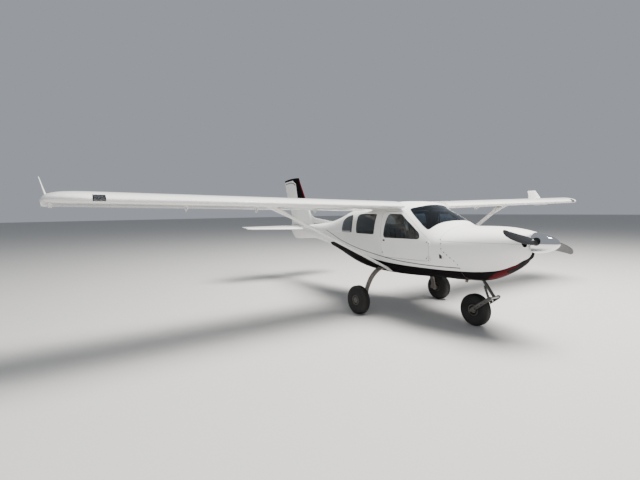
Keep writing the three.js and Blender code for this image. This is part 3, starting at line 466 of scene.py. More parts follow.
def livery_group():
    """The fuselage's colours: white, the black band, the red wedge and the thin stripe."""
    group, _, result = new_group("fuselage_paint_scheme", {}, SCHEME_OUTPUTS)
    _, (x, y, z) = own_place(group)
    stripe_away = math_node(group, "ABSOLUTE", math_node(group, "SUBTRACT", z, curve_node(group, x, STRIPE)))
    on_stripe = below(group, stripe_away, STRIPE_HALF)
    rear, front = STRIPE_REACH
    stripe_reach = both(group, below(group, x, front), below(group, rear, x))
    on_stripe = both(group, on_stripe, stripe_reach)
    in_band = below(group, z, curve_node(group, x, BAND_TOP))
    reach = math_node(group, "MULTIPLY_ADD", x, -CHIN_TAPER, CHIN_HALF + CHIN_TAPER * CHIN_FROM)
    on_chin = below(group, math_node(group, "ABSOLUTE", y), reach)
    on_chin = both(group, on_chin, below(group, CHIN_FROM, x), below(group, z, CHIN_CEILING))
    in_band = math_node(group, "MAXIMUM", in_band, on_chin)
    under_wedge_top = below(group, z, curve_node(group, x, WEDGE_TOP))
    over_wedge_bottom = below(group, curve_node(group, x, WEDGE_BOTTOM), z)
    in_wedge = both(group, under_wedge_top, over_wedge_bottom)
    colour = mixed_colour(group, on_stripe, WHITE, STRIPE_GREY)
    colour = mixed_colour(group, in_band, colour, BLACK)
    colour = mixed_colour(group, in_wedge, colour, DARK_RED)
    fed(group, result, Color=colour, Coat=math_node(group, "MULTIPLY_ADD", in_band, DARK_COAT - COAT, COAT))
    return group


LIVERY = livery_group()
point_total = sum(len(line) for line in (BAND_TOP, STRIPE, WEDGE_TOP, WEDGE_BOTTOM))
print("Band, stripe and wedge drawn from", point_total, "points")

# %% [markdown]
# The fin has a black cap, and a black band with a red front edge that follows the leading edge down and
# runs out in a point. On the rudder a thin dark line repeats the cap's lower edge. Straight edges in the
# side view are enough here, so each one is a line through two points.

# %% Paint scheme of the fin
CAP_REAR = (-3.16, 2.243)
CAP_FRONT = (-2.80, 2.266)
CORNER_REAR = (-2.78, 2.262)
CORNER_FRONT = (-2.63, 2.17)
BAND_TOP_END = (-2.665, 2.26)
BAND_LOW_END = (-2.495, 1.60)
FOOT_REAR = (-2.46, 1.76)
FOOT_FRONT = (-2.08, 1.60)
RED_TOP = (-2.505, 2.20)
RED_LOW = (-2.153, 1.62)
FIN_LINE = [(-3.16, 2.199), (-2.87, 2.217), (-2.76, 2.199), (-2.67, 2.150)]
LINE_HALF = 0.010
RED_CEILING = 2.235


def ahead_of_line(tree, x, z, first, second):
    """A mask that is 1 on the nose side of a line through two points in the side view."""
    slope = (second[0] - first[0]) / (second[1] - first[1])
    line = math_node(tree, "MULTIPLY_ADD", z, slope, first[0] - slope * first[1])
    return below(tree, line, x)


def over_line(tree, x, z, first, second):
    """A mask that is 1 above a line through two points in the side view."""
    slope = (second[1] - first[1]) / (second[0] - first[0])
    line = math_node(tree, "MULTIPLY_ADD", x, slope, first[1] - slope * first[0])
    return below(tree, line, z)


def thin_line(tree, x, z, first, second):
    """A mask of a thin line between two points in the side view, the first one further back."""
    run, rise = second[0] - first[0], second[1] - first[1]
    length = math.hypot(run, rise)
    across = math_node(tree, "MULTIPLY_ADD", x, rise / length, (first[1] * run - first[0] * rise) / length)
    across = math_node(tree, "SUBTRACT", across, math_node(tree, "MULTIPLY", z, run / length))
    away = math_node(tree, "ABSOLUTE", across)
    within = both(tree, below(tree, first[0], x), below(tree, x, second[0]))
    return both(tree, below(tree, away, LINE_HALF), within)


def fin_group():
    """The fin's colours, from straight lines in the side view."""
    group, _, result = new_group("fin_paint_scheme", {}, SCHEME_OUTPUTS)
    _, (x, _, z) = own_place(group)
    cap = over_line(group, x, z, CAP_REAR, CAP_FRONT)
    above_foot = over_line(group, x, z, FOOT_REAR, FOOT_FRONT)
    band = both(group, ahead_of_line(group, x, z, BAND_TOP_END, BAND_LOW_END), above_foot)
    dark = math_node(group, "MAXIMUM", cap, band)
    dark = math_node(group, "MAXIMUM", dark, over_line(group, x, z, CORNER_REAR, CORNER_FRONT))
    ahead = ahead_of_line(group, x, z, RED_TOP, RED_LOW)
    red = both(group, band, ahead, below(group, z, RED_CEILING))
    colour = WHITE
    for first, second in zip(FIN_LINE, FIN_LINE[1:]):
        colour = mixed_colour(group, thin_line(group, x, z, first, second), colour, STRIPE_GREY)
    colour = mixed_colour(group, dark, colour, BLACK)
    colour = mixed_colour(group, red, colour, DARK_RED)
    fed(group, result, Color=colour, Coat=math_node(group, "MULTIPLY_ADD", dark, DARK_COAT - COAT, COAT))
    return group


FIN_PAINT = fin_group()
print("Fin scheme:", FIN_PAINT.name)

# %% [markdown]
# Each finish is one Principled material. Its constants are set on the shader's own sockets, and only what
# changes over the surface comes from the groups: colour, gloss and the height of a faint bump.

# %% Materials
BUMP_REACH = 0.002


def finish(
    name, colour, grain=60.0, gloss=(0.25, 0.4), bump=0.02, dust=0.2, clean_above=1.2, scheme=None, **sockets
):
    """A Principled material with dust on its colour, grain in its gloss and a fine bump."""
    material = bpy.data.materials.new(name)
    material.use_nodes = True
    tree = material.node_tree
    shader = tree.nodes["Principled BSDF"]
    fed(tree, shader, **sockets)
    paint = (*colour, 1.0)
    dusty = new_node(tree, "ShaderNodeGroup", DUST, Paint=paint, Amount=dust, Clean_Above=clean_above)
    if scheme:
        painted = new_node(tree, "ShaderNodeGroup", scheme)
        fed(tree, dusty, Paint=painted.outputs["Color"])
        fed(tree, shader, Coat_Weight=painted.outputs["Coat"])
    grainy = new_node(tree, "ShaderNodeGroup", GRAIN, Scale=grain, Low=gloss[0], High=gloss[1])
    fed(tree, shader, Base_Color=dusty.outputs["Color"], Roughness=grainy.outputs["Gloss"])
    if bump:
        height = grainy.outputs["Height"]
        relief = new_node(tree, "ShaderNodeBump", Height=height, Strength=bump, Distance=BUMP_REACH)
        fed(tree, shader, Normal=relief.outputs["Normal"])
    return material


def glass(name, tint, dust=0.05):
    """Tinted acrylic: clear through, with a hard shine."""
    return finish(
        name, tint, grain=20, gloss=(0.015, 0.04), bump=0, dust=dust, Transmission_Weight=1.0, IOR=1.49,
    )


PAINT_GLOSS = {"gloss": (0.13, 0.25), "grain": 90, "bump": 0.012, "Coat_Roughness": 0.05}
paint_white = finish("gelcoat_white", WHITE, dust=0.10, Coat_Weight=COAT, **PAINT_GLOSS)
STRIPED_GLOSS = {**PAINT_GLOSS, "dust": 0.02, "Specular_IOR_Level": 0.0}
paint_striped = finish("gelcoat_striped", WHITE, scheme=LIVERY, **STRIPED_GLOSS)
paint_fin = finish("gelcoat_fin", WHITE, scheme=FIN_PAINT, **STRIPED_GLOSS)
lining = finish("cabin_lining", (0.20, 0.19, 0.18), grain=220, gloss=(0.7, 0.9), bump=0.25, dust=0.05)
side_acrylic = glass("side_acrylic", (0.50, 0.54, 0.55))
front_acrylic = glass("windshield_acrylic", (0.26, 0.33, 0.42))
lens_clear = glass("lens_clear", (0.92, 0.94, 0.95), dust=0.02)
seal_rubber = finish("seal_rubber", (0.018, 0.018, 0.019), grain=150, gloss=(0.55, 0.75), bump=0.05,
                     dust=0.1)
tyre_rubber = finish("tyre_rubber", (0.006, 0.006, 0.006), grain=130, gloss=(0.6, 0.85), bump=0.22,
                     dust=0.05, clean_above=0.45)
leg_composite = finish("leg_composite", (0.12, 0.105, 0.095), grain=180, gloss=(0.32, 0.5), bump=0.10,
                       dust=0.3)
steel = finish("steel_satin", (0.46, 0.45, 0.43), grain=200, gloss=(0.28, 0.45), bump=0.05, dust=0.25,
               Metallic=0.9)
steel_dark = finish("steel_dark", (0.10, 0.095, 0.09), grain=160, gloss=(0.35, 0.55), bump=0.08, dust=0.3,
                    Metallic=0.6)
gear_grey = finish("gear_grey", (0.075, 0.072, 0.07), grain=190, gloss=(0.3, 0.5), bump=0.06, Metallic=0.5)
chrome = finish("polished_spinner", (0.80, 0.80, 0.82), grain=12, gloss=(0.07, 0.13), bump=0, dust=0.05,
                Metallic=1.0)
rim_alloy = finish("rim_alloy", (0.05, 0.05, 0.052), grain=140, gloss=(0.3, 0.5), bump=0.05, dust=0.15,
                   clean_above=0.5, Metallic=0.7)
brake_iron = finish("brake_iron", (0.22, 0.20, 0.19), grain=240, gloss=(0.35, 0.5), bump=0.06, dust=0.25,
                    Metallic=0.8)
blade_composite = finish("blade_composite", (0.012, 0.012, 0.013), grain=120, gloss=(0.18, 0.3), bump=0.03,
                         dust=0.02, Coat_Weight=0.12, Coat_Roughness=0.1)
engine_iron = finish("engine_iron", (0.06, 0.06, 0.062), grain=90, gloss=(0.5, 0.7), bump=0.15, Metallic=0.4)
exhaust_steel = finish("exhaust_steel", (0.12, 0.095, 0.08), grain=70, gloss=(0.35, 0.6), bump=0.08,
                       Metallic=0.85)
carpet = finish("cabin_carpet", (0.05, 0.05, 0.055), grain=420, gloss=(0.85, 0.98), bump=0.6)
panel_black = finish("panel_black", (0.022, 0.022, 0.024), grain=260, gloss=(0.5, 0.65), bump=0.12,
                     dust=0.05)
dial_face = finish("dial_face", (0.010, 0.010, 0.011), gloss=(0.25, 0.35), bump=0, dust=0.02)
mark_white = finish("mark_white", (0.75, 0.75, 0.72), gloss=(0.4, 0.5), bump=0, dust=0.02)
screen_glass = finish("screen_glass", (0.012, 0.016, 0.022), grain=30, gloss=(0.05, 0.1), bump=0, dust=0.04,
                      Coat_Weight=0.8)
moulded_grey = finish("moulded_grey", (0.33, 0.33, 0.32), grain=180, gloss=(0.45, 0.6), bump=0.1, dust=0.08)
screw_steel = finish("screw_steel", (0.30, 0.29, 0.27), grain=80, gloss=(0.3, 0.5), bump=0, Metallic=0.8)
print("Finishes:", len(bpy.data.materials))

# %% [markdown]
# The fuselage is a row of cross sections. Each one is a superellipse: an ellipse whose power decides how
# square its shoulders are. A short table gives its size at a few places, and smooth interpolation fills in
# as many sections as the surface needs.

# %% Fuselage sections
# x, top z, bottom z, half width, z of the widest line, power of the upper and of the lower curve
FUSELAGE = [
    (-2.896, 1.243, 1.095, 0.022, 1.160, 2.2, 2.2),
    (-2.790, 1.244, 0.990, 0.030, 1.150, 2.2, 2.2),
    (-2.707, 1.245, 0.935, 0.037, 1.145, 2.2, 2.0),
    (-2.500, 1.248, 0.935, 0.060, 1.140, 2.2, 1.8),
    (-2.237, 1.256, 0.955, 0.092, 1.135, 2.3, 2.0),
    (-1.750, 1.282, 0.972, 0.150, 1.130, 2.4, 2.3),
    (-1.250, 1.325, 0.910, 0.225, 1.120, 2.4, 2.4),
    (-0.900, 1.385, 0.840, 0.290, 1.110, 2.5, 2.4),
    (-0.560, 1.475, 0.765, 0.370, 1.100, 2.6, 2.5),
    (-0.260, 1.560, 0.690, 0.445, 1.095, 2.8, 2.6),
    (0.100, 1.618, 0.612, 0.520, 1.090, 3.1, 2.7),
    (0.500, 1.652, 0.574, 0.570, 1.090, 3.4, 2.9),
    (1.000, 1.690, 0.572, 0.595, 1.090, 3.6, 3.0),
    (1.300, 1.674, 0.584, 0.598, 1.090, 3.0, 3.0),
    (1.400, 1.646, 0.589, 0.597, 1.090, 2.45, 2.95),
    (1.500, 1.603, 0.594, 0.594, 1.090, 2.1, 2.9),
    (1.720, 1.500, 0.608, 0.586, 1.090, 1.95, 2.8),
    (1.930, 1.373, 0.616, 0.572, 1.090, 1.92, 2.7),
    (2.073, 1.342, 0.618, 0.548, 1.092, 1.97, 2.6),
    (2.200, 1.338, 0.627, 0.520, 1.095, 2.08, 2.5),
    (2.400, 1.340, 0.649, 0.470, 1.100, 2.2, 2.4),
    (2.600, 1.333, 0.739, 0.402, 1.112, 2.3, 2.2),
    (2.750, 1.316, 0.837, 0.338, 1.126, 2.3, 2.1),
    (2.850, 1.298, 0.938, 0.282, 1.142, 2.3, 2.1),
    (2.905, 1.284, 0.987, 0.238, 1.152, 2.4, 2.2),
    (2.932, 1.268, 1.055, 0.196, 1.158, 2.4, 2.3),
]
TAIL_END = FUSELAGE[0][0]
NOSE_END = FUSELAGE[-1][0]
CABIN_REAR = -0.340
RING_SIDES = 112
SECTION_STEP = 0.04


def smooth_row(table, x):
    """A row of a table between its rows, by smooth interpolation."""
    if x <= table[0][0]:
        return table[0]
    if x >= table[-1][0]:
        return table[-1]
    i = max(n for n in range(len(table) - 1) if table[n][0] <= x)
    here, after = table[i], table[i + 1]
    span = after[0] - here[0]
    t = (x - here[0]) / span
    row = []
    for c, value in enumerate(here):
        start_slope = after[c] - value
        end_slope = after[c] - value
        if i > 0:
            start_slope = (after[c] - table[i - 1][c]) / (after[0] - table[i - 1][0]) * span
        if i + 2 < len(table):
            end_slope = (table[i + 2][c] - value) / (table[i + 2][0] - here[0]) * span
        row.append(
            (2 * t**3 - 3 * t**2 + 1) * value
            + (t**3 - 2 * t**2 + t) * start_slope
            + (3 * t**2 - 2 * t**3) * after[c]
            + (t**3 - t**2) * end_slope
        )
    return row


def fuselage_ring(x, inset=0.0, sides=RING_SIDES):
    """The section at x, moved in from the outer surface by an inset."""
    _, top, bottom, half_width, widest, upper, lower = smooth_row(FUSELAGE, x)
    ring = []
    for angle in around(sides, 0.5):
        c, s = math.cos(angle), math.sin(angle)
        power = 2 / (upper if s > 0 else lower)
        height = top - inset - widest if s > 0 else widest - bottom - inset
        y = (half_width - inset) * math.copysign(abs(c) ** power, c)
        ring.append(Vector((x, y, widest + height * math.copysign(abs(s) ** power, s))))
    return ring


def steps(start, end, step):
    """Even steps from start to end, both included."""
    count = max(1, math.ceil(abs(end - start) / step))
    return [start + (end - start) * i / count for i in range(count + 1)]


# Sections stand closer together ahead of CLOSE_FROM, and the front lip's rounding starts at ROUND_FROM
CLOSE_FROM = 2.84
CLOSE_STEP = 0.016
ROUND_FROM = 2.92
NOSE_ROUND = [(2.926, 0.002), (2.930, 0.006), (2.932, 0.012)]


def fuselage_body(name, start, end, inset=0.0, round_nose=False):
    """The fuselage's body between two places, with a rounded front lip where it reaches the nose."""
    stops = [(x, inset) for x in steps(start, min(end, CLOSE_FROM), SECTION_STEP)]
    if end > CLOSE_FROM:
        last = ROUND_FROM if round_nose else end
        stops += [(x, inset) for x in steps(CLOSE_FROM, last, CLOSE_STEP)[1:]]
    if round_nose:
        stops += [(x, inset + extra) for x, extra in NOSE_ROUND]
    return loft(name, [fuselage_ring(x, more) for x, more in stops])


def level_on(x, z):
    """A section's half width and power at a height, and the share of its half height there."""
    _, top, bottom, half_width, widest, upper, lower = smooth_row(FUSELAGE, x)
    height, power = (top - widest, upper) if z > widest else (widest - bottom, lower)
    return half_width, power, abs(z - widest) / height


def skin_y(x, z):
    """How far out the fuselage's side is at x and z."""
    half_width, power, share = level_on(x, z)
    return half_width * (1 - min(share, 0.999) ** power) ** (1 / power)


def skin_spot(x, z, side):
    """A point on the fuselage's side, and the direction that the skin faces there."""
    reach = 0.004
    spot = Vector((x, side * skin_y(x, z), z))
    along = Vector((2 * reach, side * (skin_y(x + reach, z) - skin_y(x - reach, z)), 0))
    upward = Vector((0, side * (skin_y(x, z + reach) - skin_y(x, z - reach)), 2 * reach))
    facing = along.cross(upward).normalized()
    return spot, facing if facing.y * side > 0 else -facing


LINING_DEPTH = 0.72


def is_inside(point, skin):
    """Whether a point of the shell lies deeper in its wall than the share LINING_DEPTH."""
    half_width, power, level = level_on(point.x, point.z)
    share = (abs(point.y) / half_width) ** power + level**power
    return share ** (1 / power) < 1 - LINING_DEPTH * skin / half_width


def lined(piece, skin, *materials):
    """Gives the faces inside a shell the second material."""
    coated(piece, *materials)
    for face in piece.data.polygons:
        on_front = face.normal.x > 0.5 and face.center.x > NOSE_END - 0.01
        face.material_index = int(is_inside(face.center, skin) and not on_front)
    return piece


outer = tool(fuselage_body("outer", TAIL_END, NOSE_END, round_nose=True))
print("Fuselage loft:", len(outer.data.polygons), "faces")

# %% [markdown]
# The wing is an airfoil carried along the span. Its flaps and ailerons are cut from the whole wing, along a
# round nose about their hinge line, so their outer shape lines up with it when they are in neutral.

# %% Wing sections
# Distance out along the span, leading edge x, trailing edge x, drop of the section, thickness share
WING_STATIONS = [
    (0.470, 1.313, 0.293, 0.0, 0.12),
    (4.400, 1.313, 0.293, 0.0, 0.12),
    (4.540, 1.270, 0.293, 0.0, 0.124),
    (4.650, 1.185, 0.291, 0.0, 0.124),
    (4.722, 1.090, 0.300, 0.002, 0.112),
    (4.765, 0.990, 0.360, 0.004, 0.082),
    (4.786, 0.880, 0.520, 0.006, 0.04),
]
TIP_CLOSING = [(4.779, 0.97), (4.783, 0.85), (4.786, 0.5)]
LEADING_EDGE_Z = 1.598
TRAILING_EDGE_Z = 1.540
DIHEDRAL = 0.0222
CAMBER = 0.04
CAMBER_AT = 0.4
AIRFOIL_STEPS = 44


def thickness_curve(t):
    """Half the thickness of a smooth section along its chord, for a thickness of 1."""
    return 5 * (0.2969 * math.sqrt(t) - 0.126 * t - 0.3516 * t * t + 0.2843 * t**3 - 0.1015 * t**4)


def camber_line(t):
    """The height of the airfoil's middle line along its chord."""
    if t < CAMBER_AT:
        return CAMBER / CAMBER_AT**2 * (2 * CAMBER_AT * t - t * t)
    return CAMBER / (1 - CAMBER_AT) ** 2 * (1 - 2 * CAMBER_AT + 2 * CAMBER_AT * t - t * t)


def section_walk(count, last=None):
    """Chord shares around a section, close together at its ends, with 1 above and -1 below."""
    shares = [(1 - math.cos(math.pi * i / count)) / 2 for i in range(count + 1)]
    return [(t, 1) for t in reversed(shares)] + [(t, -1) for t in shares[1:last]]


def wing_ring(y, side, close=1.0):
    """The wing's section at a distance out. close thins it towards a rounded tip."""
    _, lead, trail, drop, thickness = smooth_row(WING_STATIONS, y)
    chord = lead - trail
    ring = []
    for t, face in section_walk(AIRFOIL_STEPS):
        height = camber_line(t) + face * thickness * close * thickness_curve(t)
        z = LEADING_EDGE_Z + (TRAILING_EDGE_Z - LEADING_EDGE_Z) * t + chord * height + DIHEDRAL * y - drop
        ring.append(Vector((lead - chord * t, side * y, z)))
    return ring


def wing_body(name, side, root=0.470):
    """The whole wing of one side, with a rounded tip."""
    spans = [root, *steps(4.40, 4.70, 0.03), *steps(4.712, 4.772, 0.01)]
    rings = [wing_ring(y, side) for y in spans] + [wing_ring(y, side, close) for y, close in TIP_CLOSING]
    return loft(name, rings)


SIDES = {"right": -1, "left": 1}
whole_wings = {word: tool(wing_body("whole_wing_" + word, side)) for word, side in SIDES.items()}
print("Wing section:", len(whole_wings["left"].data.vertices), "points on each side")

# %% [markdown]
# Door and window outlines are drawn in the side view. Their corners are rounded by short curves, because
# acrylic and composite never keep a sharp corner.

# %% Outlines of doors and windows
FRONT_DOOR = [(1.000, 0.866), (1.821, 0.880), (1.846, 0.905), (1.850, 1.151), (1.826, 1.167),
              (1.768, 1.204), (1.664, 1.270), (1.529, 1.360), (1.411, 1.449), (1.333, 1.512),
              (1.268, 1.538), (0.938, 1.538), (0.917, 1.129), (0.940, 0.985)]
DOOR_WINDOW = [(0.983, 1.190), (1.010, 1.155), (1.655, 1.164), (1.684, 1.184), (1.655, 1.245),
               (1.592, 1.283), (1.413, 1.404), (1.327, 1.479), (1.296, 1.499), (1.080, 1.500),
               (1.054, 1.476), (1.009, 1.321)]
REAR_DOOR = [(0.240, 0.985), (0.272, 0.955), (0.850, 0.950), (0.880, 0.980), (0.894, 1.538), (0.330, 1.538),
             (0.262, 1.500), (0.242, 1.440)]
MID_FRONT = [(0.735, 1.192), (0.757, 1.207), (0.788, 1.485), (0.770, 1.500)]
REAR_DOOR_WINDOW = [(0.290, 1.208), (0.308, 1.191), *MID_FRONT, (0.352, 1.498), (0.300, 1.455)]
MID_WINDOW = [(0.264, 1.208), (0.284, 1.191), *MID_FRONT, (0.306, 1.498), (0.251, 1.475)]
AFT_WINDOW = [(-0.285, 1.212), (-0.258, 1.190), (0.098, 1.194), (0.116, 1.208), (0.116, 1.330),
              (0.104, 1.412), (0.060, 1.470), (0.018, 1.483), (-0.098, 1.469), (-0.186, 1.443),
              (-0.276, 1.393)]
WINDSHIELD_HALF = [(1.871, 0.000), (1.862, 0.104), (1.848, 0.191), (1.826, 0.296), (1.808, 0.369),
                   (1.796, 0.426), (1.771, 0.496), (1.649, 0.476), (1.552, 0.447), (1.425, 0.428),
                   (1.350, 0.419), (1.385, 0.347), (1.413, 0.275), (1.430, 0.190), (1.440, 0.062),
                   (1.442, 0.000)]
WINDSHIELD = WINDSHIELD_HALF + [(x, -y) for x, y in reversed(WINDSHIELD_HALF[1:-1])]


def rounded(outline, radius=0.03, count=5):
    """An outline with a short curve at each corner."""
    soft = []
    for i, corner in enumerate(outline):
        corner = Vector(corner)
        before = Vector(outline[i - 1]) - corner
        after = Vector(outline[(i + 1) % len(outline)]) - corner
        start = corner + before.normalized() * min(radius, before.length * 0.48)
        end = corner + after.normalized() * min(radius, after.length * 0.48)
        for step in range(count + 1):
            t = step / count
            soft.append(tuple(start * (1 - t) ** 2 + corner * 2 * t * (1 - t) + end * t * t))
    return soft


def grown(outline, margin):
    """An outline moved out by a margin."""
    area = sum(a[0] * b[1] - b[0] * a[1] for a, b in zip(outline, outline[1:] + outline[:1]))
    turn = math.copysign(1, area)
    moved = []
    for i, point in enumerate(outline):
        here = Vector(point)
        normals = []
        for a, b in ((Vector(outline[i - 1]), here), (here, Vector(outline[(i + 1) % len(outline)]))):
            along = (b - a).normalized()
            normals.append(Vector((turn * along.y, -turn * along.x)))
        total = normals[0] + normals[1]
        moved.append(tuple(here + total * (2 * margin / total.length_squared)))
    return moved


SIDE_REACH = (0.15, 0.7)
ROOF_REACH = (1.20, 1.80)


def side_tool(name, outline, side, margin=0.0):
    """A cutter through one side of the fuselage."""
    near, far = [side * reach for reach in SIDE_REACH]
    soft = rounded(outline)
    return tool(prism(name, grown(soft, margin) if margin else soft, near, far))


def plan_tool(name, outline, margin=0.0):
    """A cutter through the roof, seen from above."""
    soft = rounded(outline, radius=0.05)
    return tool(prism(name, grown(soft, margin) if margin else soft, *ROOF_REACH, across="Z"))


print("Door outlines:", len(rounded(FRONT_DOOR)), "and", len(rounded(REAR_DOOR)), "points")

# %% [markdown]
# The cabin shell is the outer body less everything that opens it: the inside, the cowl's place, the doors,
# the windows, the windshield and the wing roots. The gaps around the doors are 5 mm, as on the real one,
# so they show as thin dark lines.

# %% Cabin shell
SKIN = 0.025
LINING_GAP = 0.001
# Where the inner bodies start and end, and half the width of rooms that span the whole fuselage
INNER_ENDS = (TAIL_END + 0.4, NOSE_END - 0.010)
ROOM_HALF = 0.7
GLASS_SKIN = 0.006
SEAM = 0.0012
DOOR_SEAM = 0.005
CLEARANCE = 0.0003
COWL_SEAM = 0.0013
COWL_REAR = [(1.998, 1.600), (1.996, 1.185), (2.013, 1.156), (2.028, 1.110), (2.032, 1.036), (2.074, 1.012),
             (2.109, 0.984), (2.194, 0.912), (2.232, 0.867), (2.242, 0.825), (2.240, 0.560), (3.300, 0.560),
             (3.300, 1.600)]
NOSE_LEG_X = 2.264
LEG_HOLE = 0.062
EXHAUST_LOW = Vector((2.085, -0.100, 0.592))
EXHAUST_HIGH = Vector((2.230, -0.100, 0.958))
EXHAUST_RADIUS = 0.022
EXHAUST_GAP = 0.004

inner = tool(fuselage_body("inner", *INNER_ENDS, SKIN))
cowl_room = tool(prism("cowl_room", grown(COWL_REAR, COWL_SEAM), -ROOM_HALF, ROOM_HALF))
leg_hole = tool(rod("leg_hole", (NOSE_LEG_X, 0, 0.56), (NOSE_LEG_X, 0, 0.76), LEG_HOLE, 40))
exhaust_hole = tool(rod("exhaust_hole", EXHAUST_LOW, EXHAUST_HIGH, EXHAUST_RADIUS + EXHAUST_GAP, 32))
cabin_span = tool(block("cabin_span", (CABIN_REAR, -ROOM_HALF, 0), (NOSE_END, ROOM_HALF, 2)))
windshield_hole = plan_tool("windshield_hole", WINDSHIELD, SEAM / 2)

cabin_skin = copy_of(outer, "cabin_skin")
carve(
    cabin_skin,
    inner,
    cowl_room,
    whole_wings["left"],
    whole_wings["right"],
    windshield_hole,
    leg_hole,
    exhaust_hole,
    side_tool("front_door_right", FRONT_DOOR, -1, DOOR_SEAM),
    side_tool("mid_window_right", MID_WINDOW, -1, SEAM / 2),
    side_tool("aft_window_right", AFT_WINDOW, -1, SEAM / 2),
    side_tool("front_door_left", FRONT_DOOR, 1, DOOR_SEAM),
    side_tool("rear_door_left", REAR_DOOR, 1, DOOR_SEAM),
    side_tool("aft_window_left", AFT_WINDOW, 1, SEAM / 2),
    within=cabin_span,
)
print("Cabin shell cut:", len(cabin_skin.data.polygons), "faces")

# %% Side inlets
# Share of the way back, height of the opening and depth
INLET_STATIONS = [(0.0, 0.006, -0.001), (0.15, 0.010, 0.0015), (0.4, 0.026, 0.0055), (0.7, 0.052, 0.0110),
                  (1.0, 0.064, 0.0150)]
# The painted shade in the inlet's opening, a dark sloping plate: share of the way back, height, and its
# depths below and above
PAINTED_SHADE_STATIONS = [(0.64, 0.045, 0.0096, 0.0092), (0.995, 0.062, 0.0146, 0.0010)]
INLET_FRONT = 2.094
INLET_REAR = 2.005
INLET_LOW = 0.928
INLET_FALL = 0.004
PAINTED_SHADE_LIFT = 0.0005


def inlet_ring(share, height, depth, side, reach=0.01):
    """A section of the sunk inlet, from its floor to outside the skin."""
    x = INLET_FRONT + (INLET_REAR - INLET_FRONT) * share
    low = INLET_LOW + INLET_FALL * (1 - share)
    ring = []
    for z, out in ((low, -depth), (low + height, -depth), (low + height, reach), (low, reach)):
        ring.append(Vector((x, side * (skin_y(x, z) + out), z)))
    return ring


for word, side in SIDES.items():
    ramp = tool(loft("inlet_ramp", [inlet_ring(*row, side) for row in INLET_STATIONS]))
    carve(cabin_skin, ramp)
    # A dark plate near the inlet's rear wall is painted shade: it stands for the shade in the opening and
    # takes the black rubber finish.
    rings = [inlet_ring(share, height, deep, side, -near) for share, height, deep, near in PAINTED_SHADE_STATIONS]
    lifted = [[point + UP * PAINTED_SHADE_LIFT for point in ring] for ring in rings]
    painted_shade_plate = loft("inlet_mouth_" + word, lifted)
    settled(coated(painted_shade_plate, seal_rubber), "airframe", "cabin_trim")
lined(cabin_skin, SKIN, paint_striped, lining)
settled(cabin_skin, "airframe", "white_paint", "cabin_shell")

# %% [markdown]
# A pane follows the skin, so it is the same loft again, only 6 mm thick, cut to its outline. A thin black
# seal sits proud of the joint all around. It is cut from a slightly larger body in the same way.

# %% Panes and their seals
SEAL_PROUD = 0.0009
SEAL_DEPTH = 0.002
# The pane's own outline, and the outer and the inner edge of its seal
PANE_MARGINS = (0, 0.003, -0.007)
glass_inner = tool(fuselage_body("glass_inner", *INNER_ENDS, GLASS_SKIN))
proud = tool(fuselage_body("proud", -0.6, 2.3, -SEAL_PROUD))
seal_inner = tool(fuselage_body("seal_inner", -0.7, 2.4, SEAL_DEPTH))


def pane(name, seal_name, cuts, material, body, node):
    """A pane and its black seal, from three cutters: its own, a larger one and a smaller one."""
    own, larger, smaller = cuts
    piece = carve(copy_of(outer, name), glass_inner, within=own)
    settled(coated(piece, material), body, "glazing", node)
    ring = carve(copy_of(proud, seal_name), smaller, seal_inner, within=larger)
    settled(coated(ring, seal_rubber), body, "cabin_trim")


def side_pane(name, outline, side, body, node):
    """A side window with its seal."""
    cuts = [side_tool("side_cut", outline, side, margin) for margin in PANE_MARGINS]
    pane(name, name + "_seal", cuts, side_acrylic, body, node)


cuts = [plan_tool("windshield_cut", WINDSHIELD, margin) for margin in PANE_MARGINS]
pane("windshield_pane", "windshield_seal", cuts, front_acrylic, "airframe", "windshield")
side_pane("mid_pane_right", MID_WINDOW, -1, "airframe", "window_right_mid")
side_pane("aft_pane_right", AFT_WINDOW, -1, "airframe", "window_right_aft")
side_pane("aft_pane_left", AFT_WINDOW, 1, "airframe", "window_left_aft")

# %% [markdown]
# A door is a leaf with a window hole, made from the same wall as the shell. It rides on its own body, and
# its pane and seal ride with it, so all three swing together about the hinge.

# %% Doors
def door(body, leaf, window, side):
    """A door leaf with its pane and seal."""
    skin = carve(
        copy_of(outer, body + "_skin"),
        inner,
        side_tool(body + "_hole", window, side, SEAM / 2),
        within=side_tool(body + "_leaf", leaf, side),
    )
    lined(skin, SKIN, paint_striped, lining)
    settled(skin, body, "white_paint", body)
    side_pane(body + "_pane", window, side, body, body + "_glass")


door("door_right", FRONT_DOOR, DOOR_WINDOW, -1)
door("door_left", FRONT_DOOR, DOOR_WINDOW, 1)
door("door_rear_left", REAR_DOOR, REAR_DOOR_WINDOW, 1)

# %% [markdown]
# The tail cone goes on from the cabin as one smooth body. It is hollow up to the tailplane, with a
# bulkhead behind the baggage space that has a round lightening hole.

# %% Tail cone
TAIL_SKIN = 0.014
HOLLOW_REAR = -2.200
LIGHTENING_Z = 1.150
LIGHTENING_RADIUS = 0.110
BULKHEAD_DEPTH = 0.03
low = (TAIL_END - 0.01, -ROOM_HALF, 0)
tail_span = tool(block("tail_span", low, (CABIN_REAR - CLEARANCE, ROOM_HALF, 2)))
tail_hollow = tool(fuselage_body("tail_hollow", HOLLOW_REAR, CABIN_REAR - TAIL_SKIN, TAIL_SKIN))
hole_rear = (CABIN_REAR - 0.06, 0, LIGHTENING_Z)
hole_front = (CABIN_REAR + 0.01, 0, LIGHTENING_Z)
lightening = tool(rod("lightening", hole_rear, hole_front, LIGHTENING_RADIUS, 48))
tail_skin = carve(copy_of(outer, "tail_skin"), tail_hollow, lightening, within=tail_span)
lined(tail_skin, TAIL_SKIN, paint_striped, lining)
for face in tail_skin.data.polygons:
    if face.normal.x > 0.9 and face.center.x > CABIN_REAR - BULKHEAD_DEPTH:
        face.material_index = 1
settled(tail_skin, "airframe", "white_paint", "tail_cone")

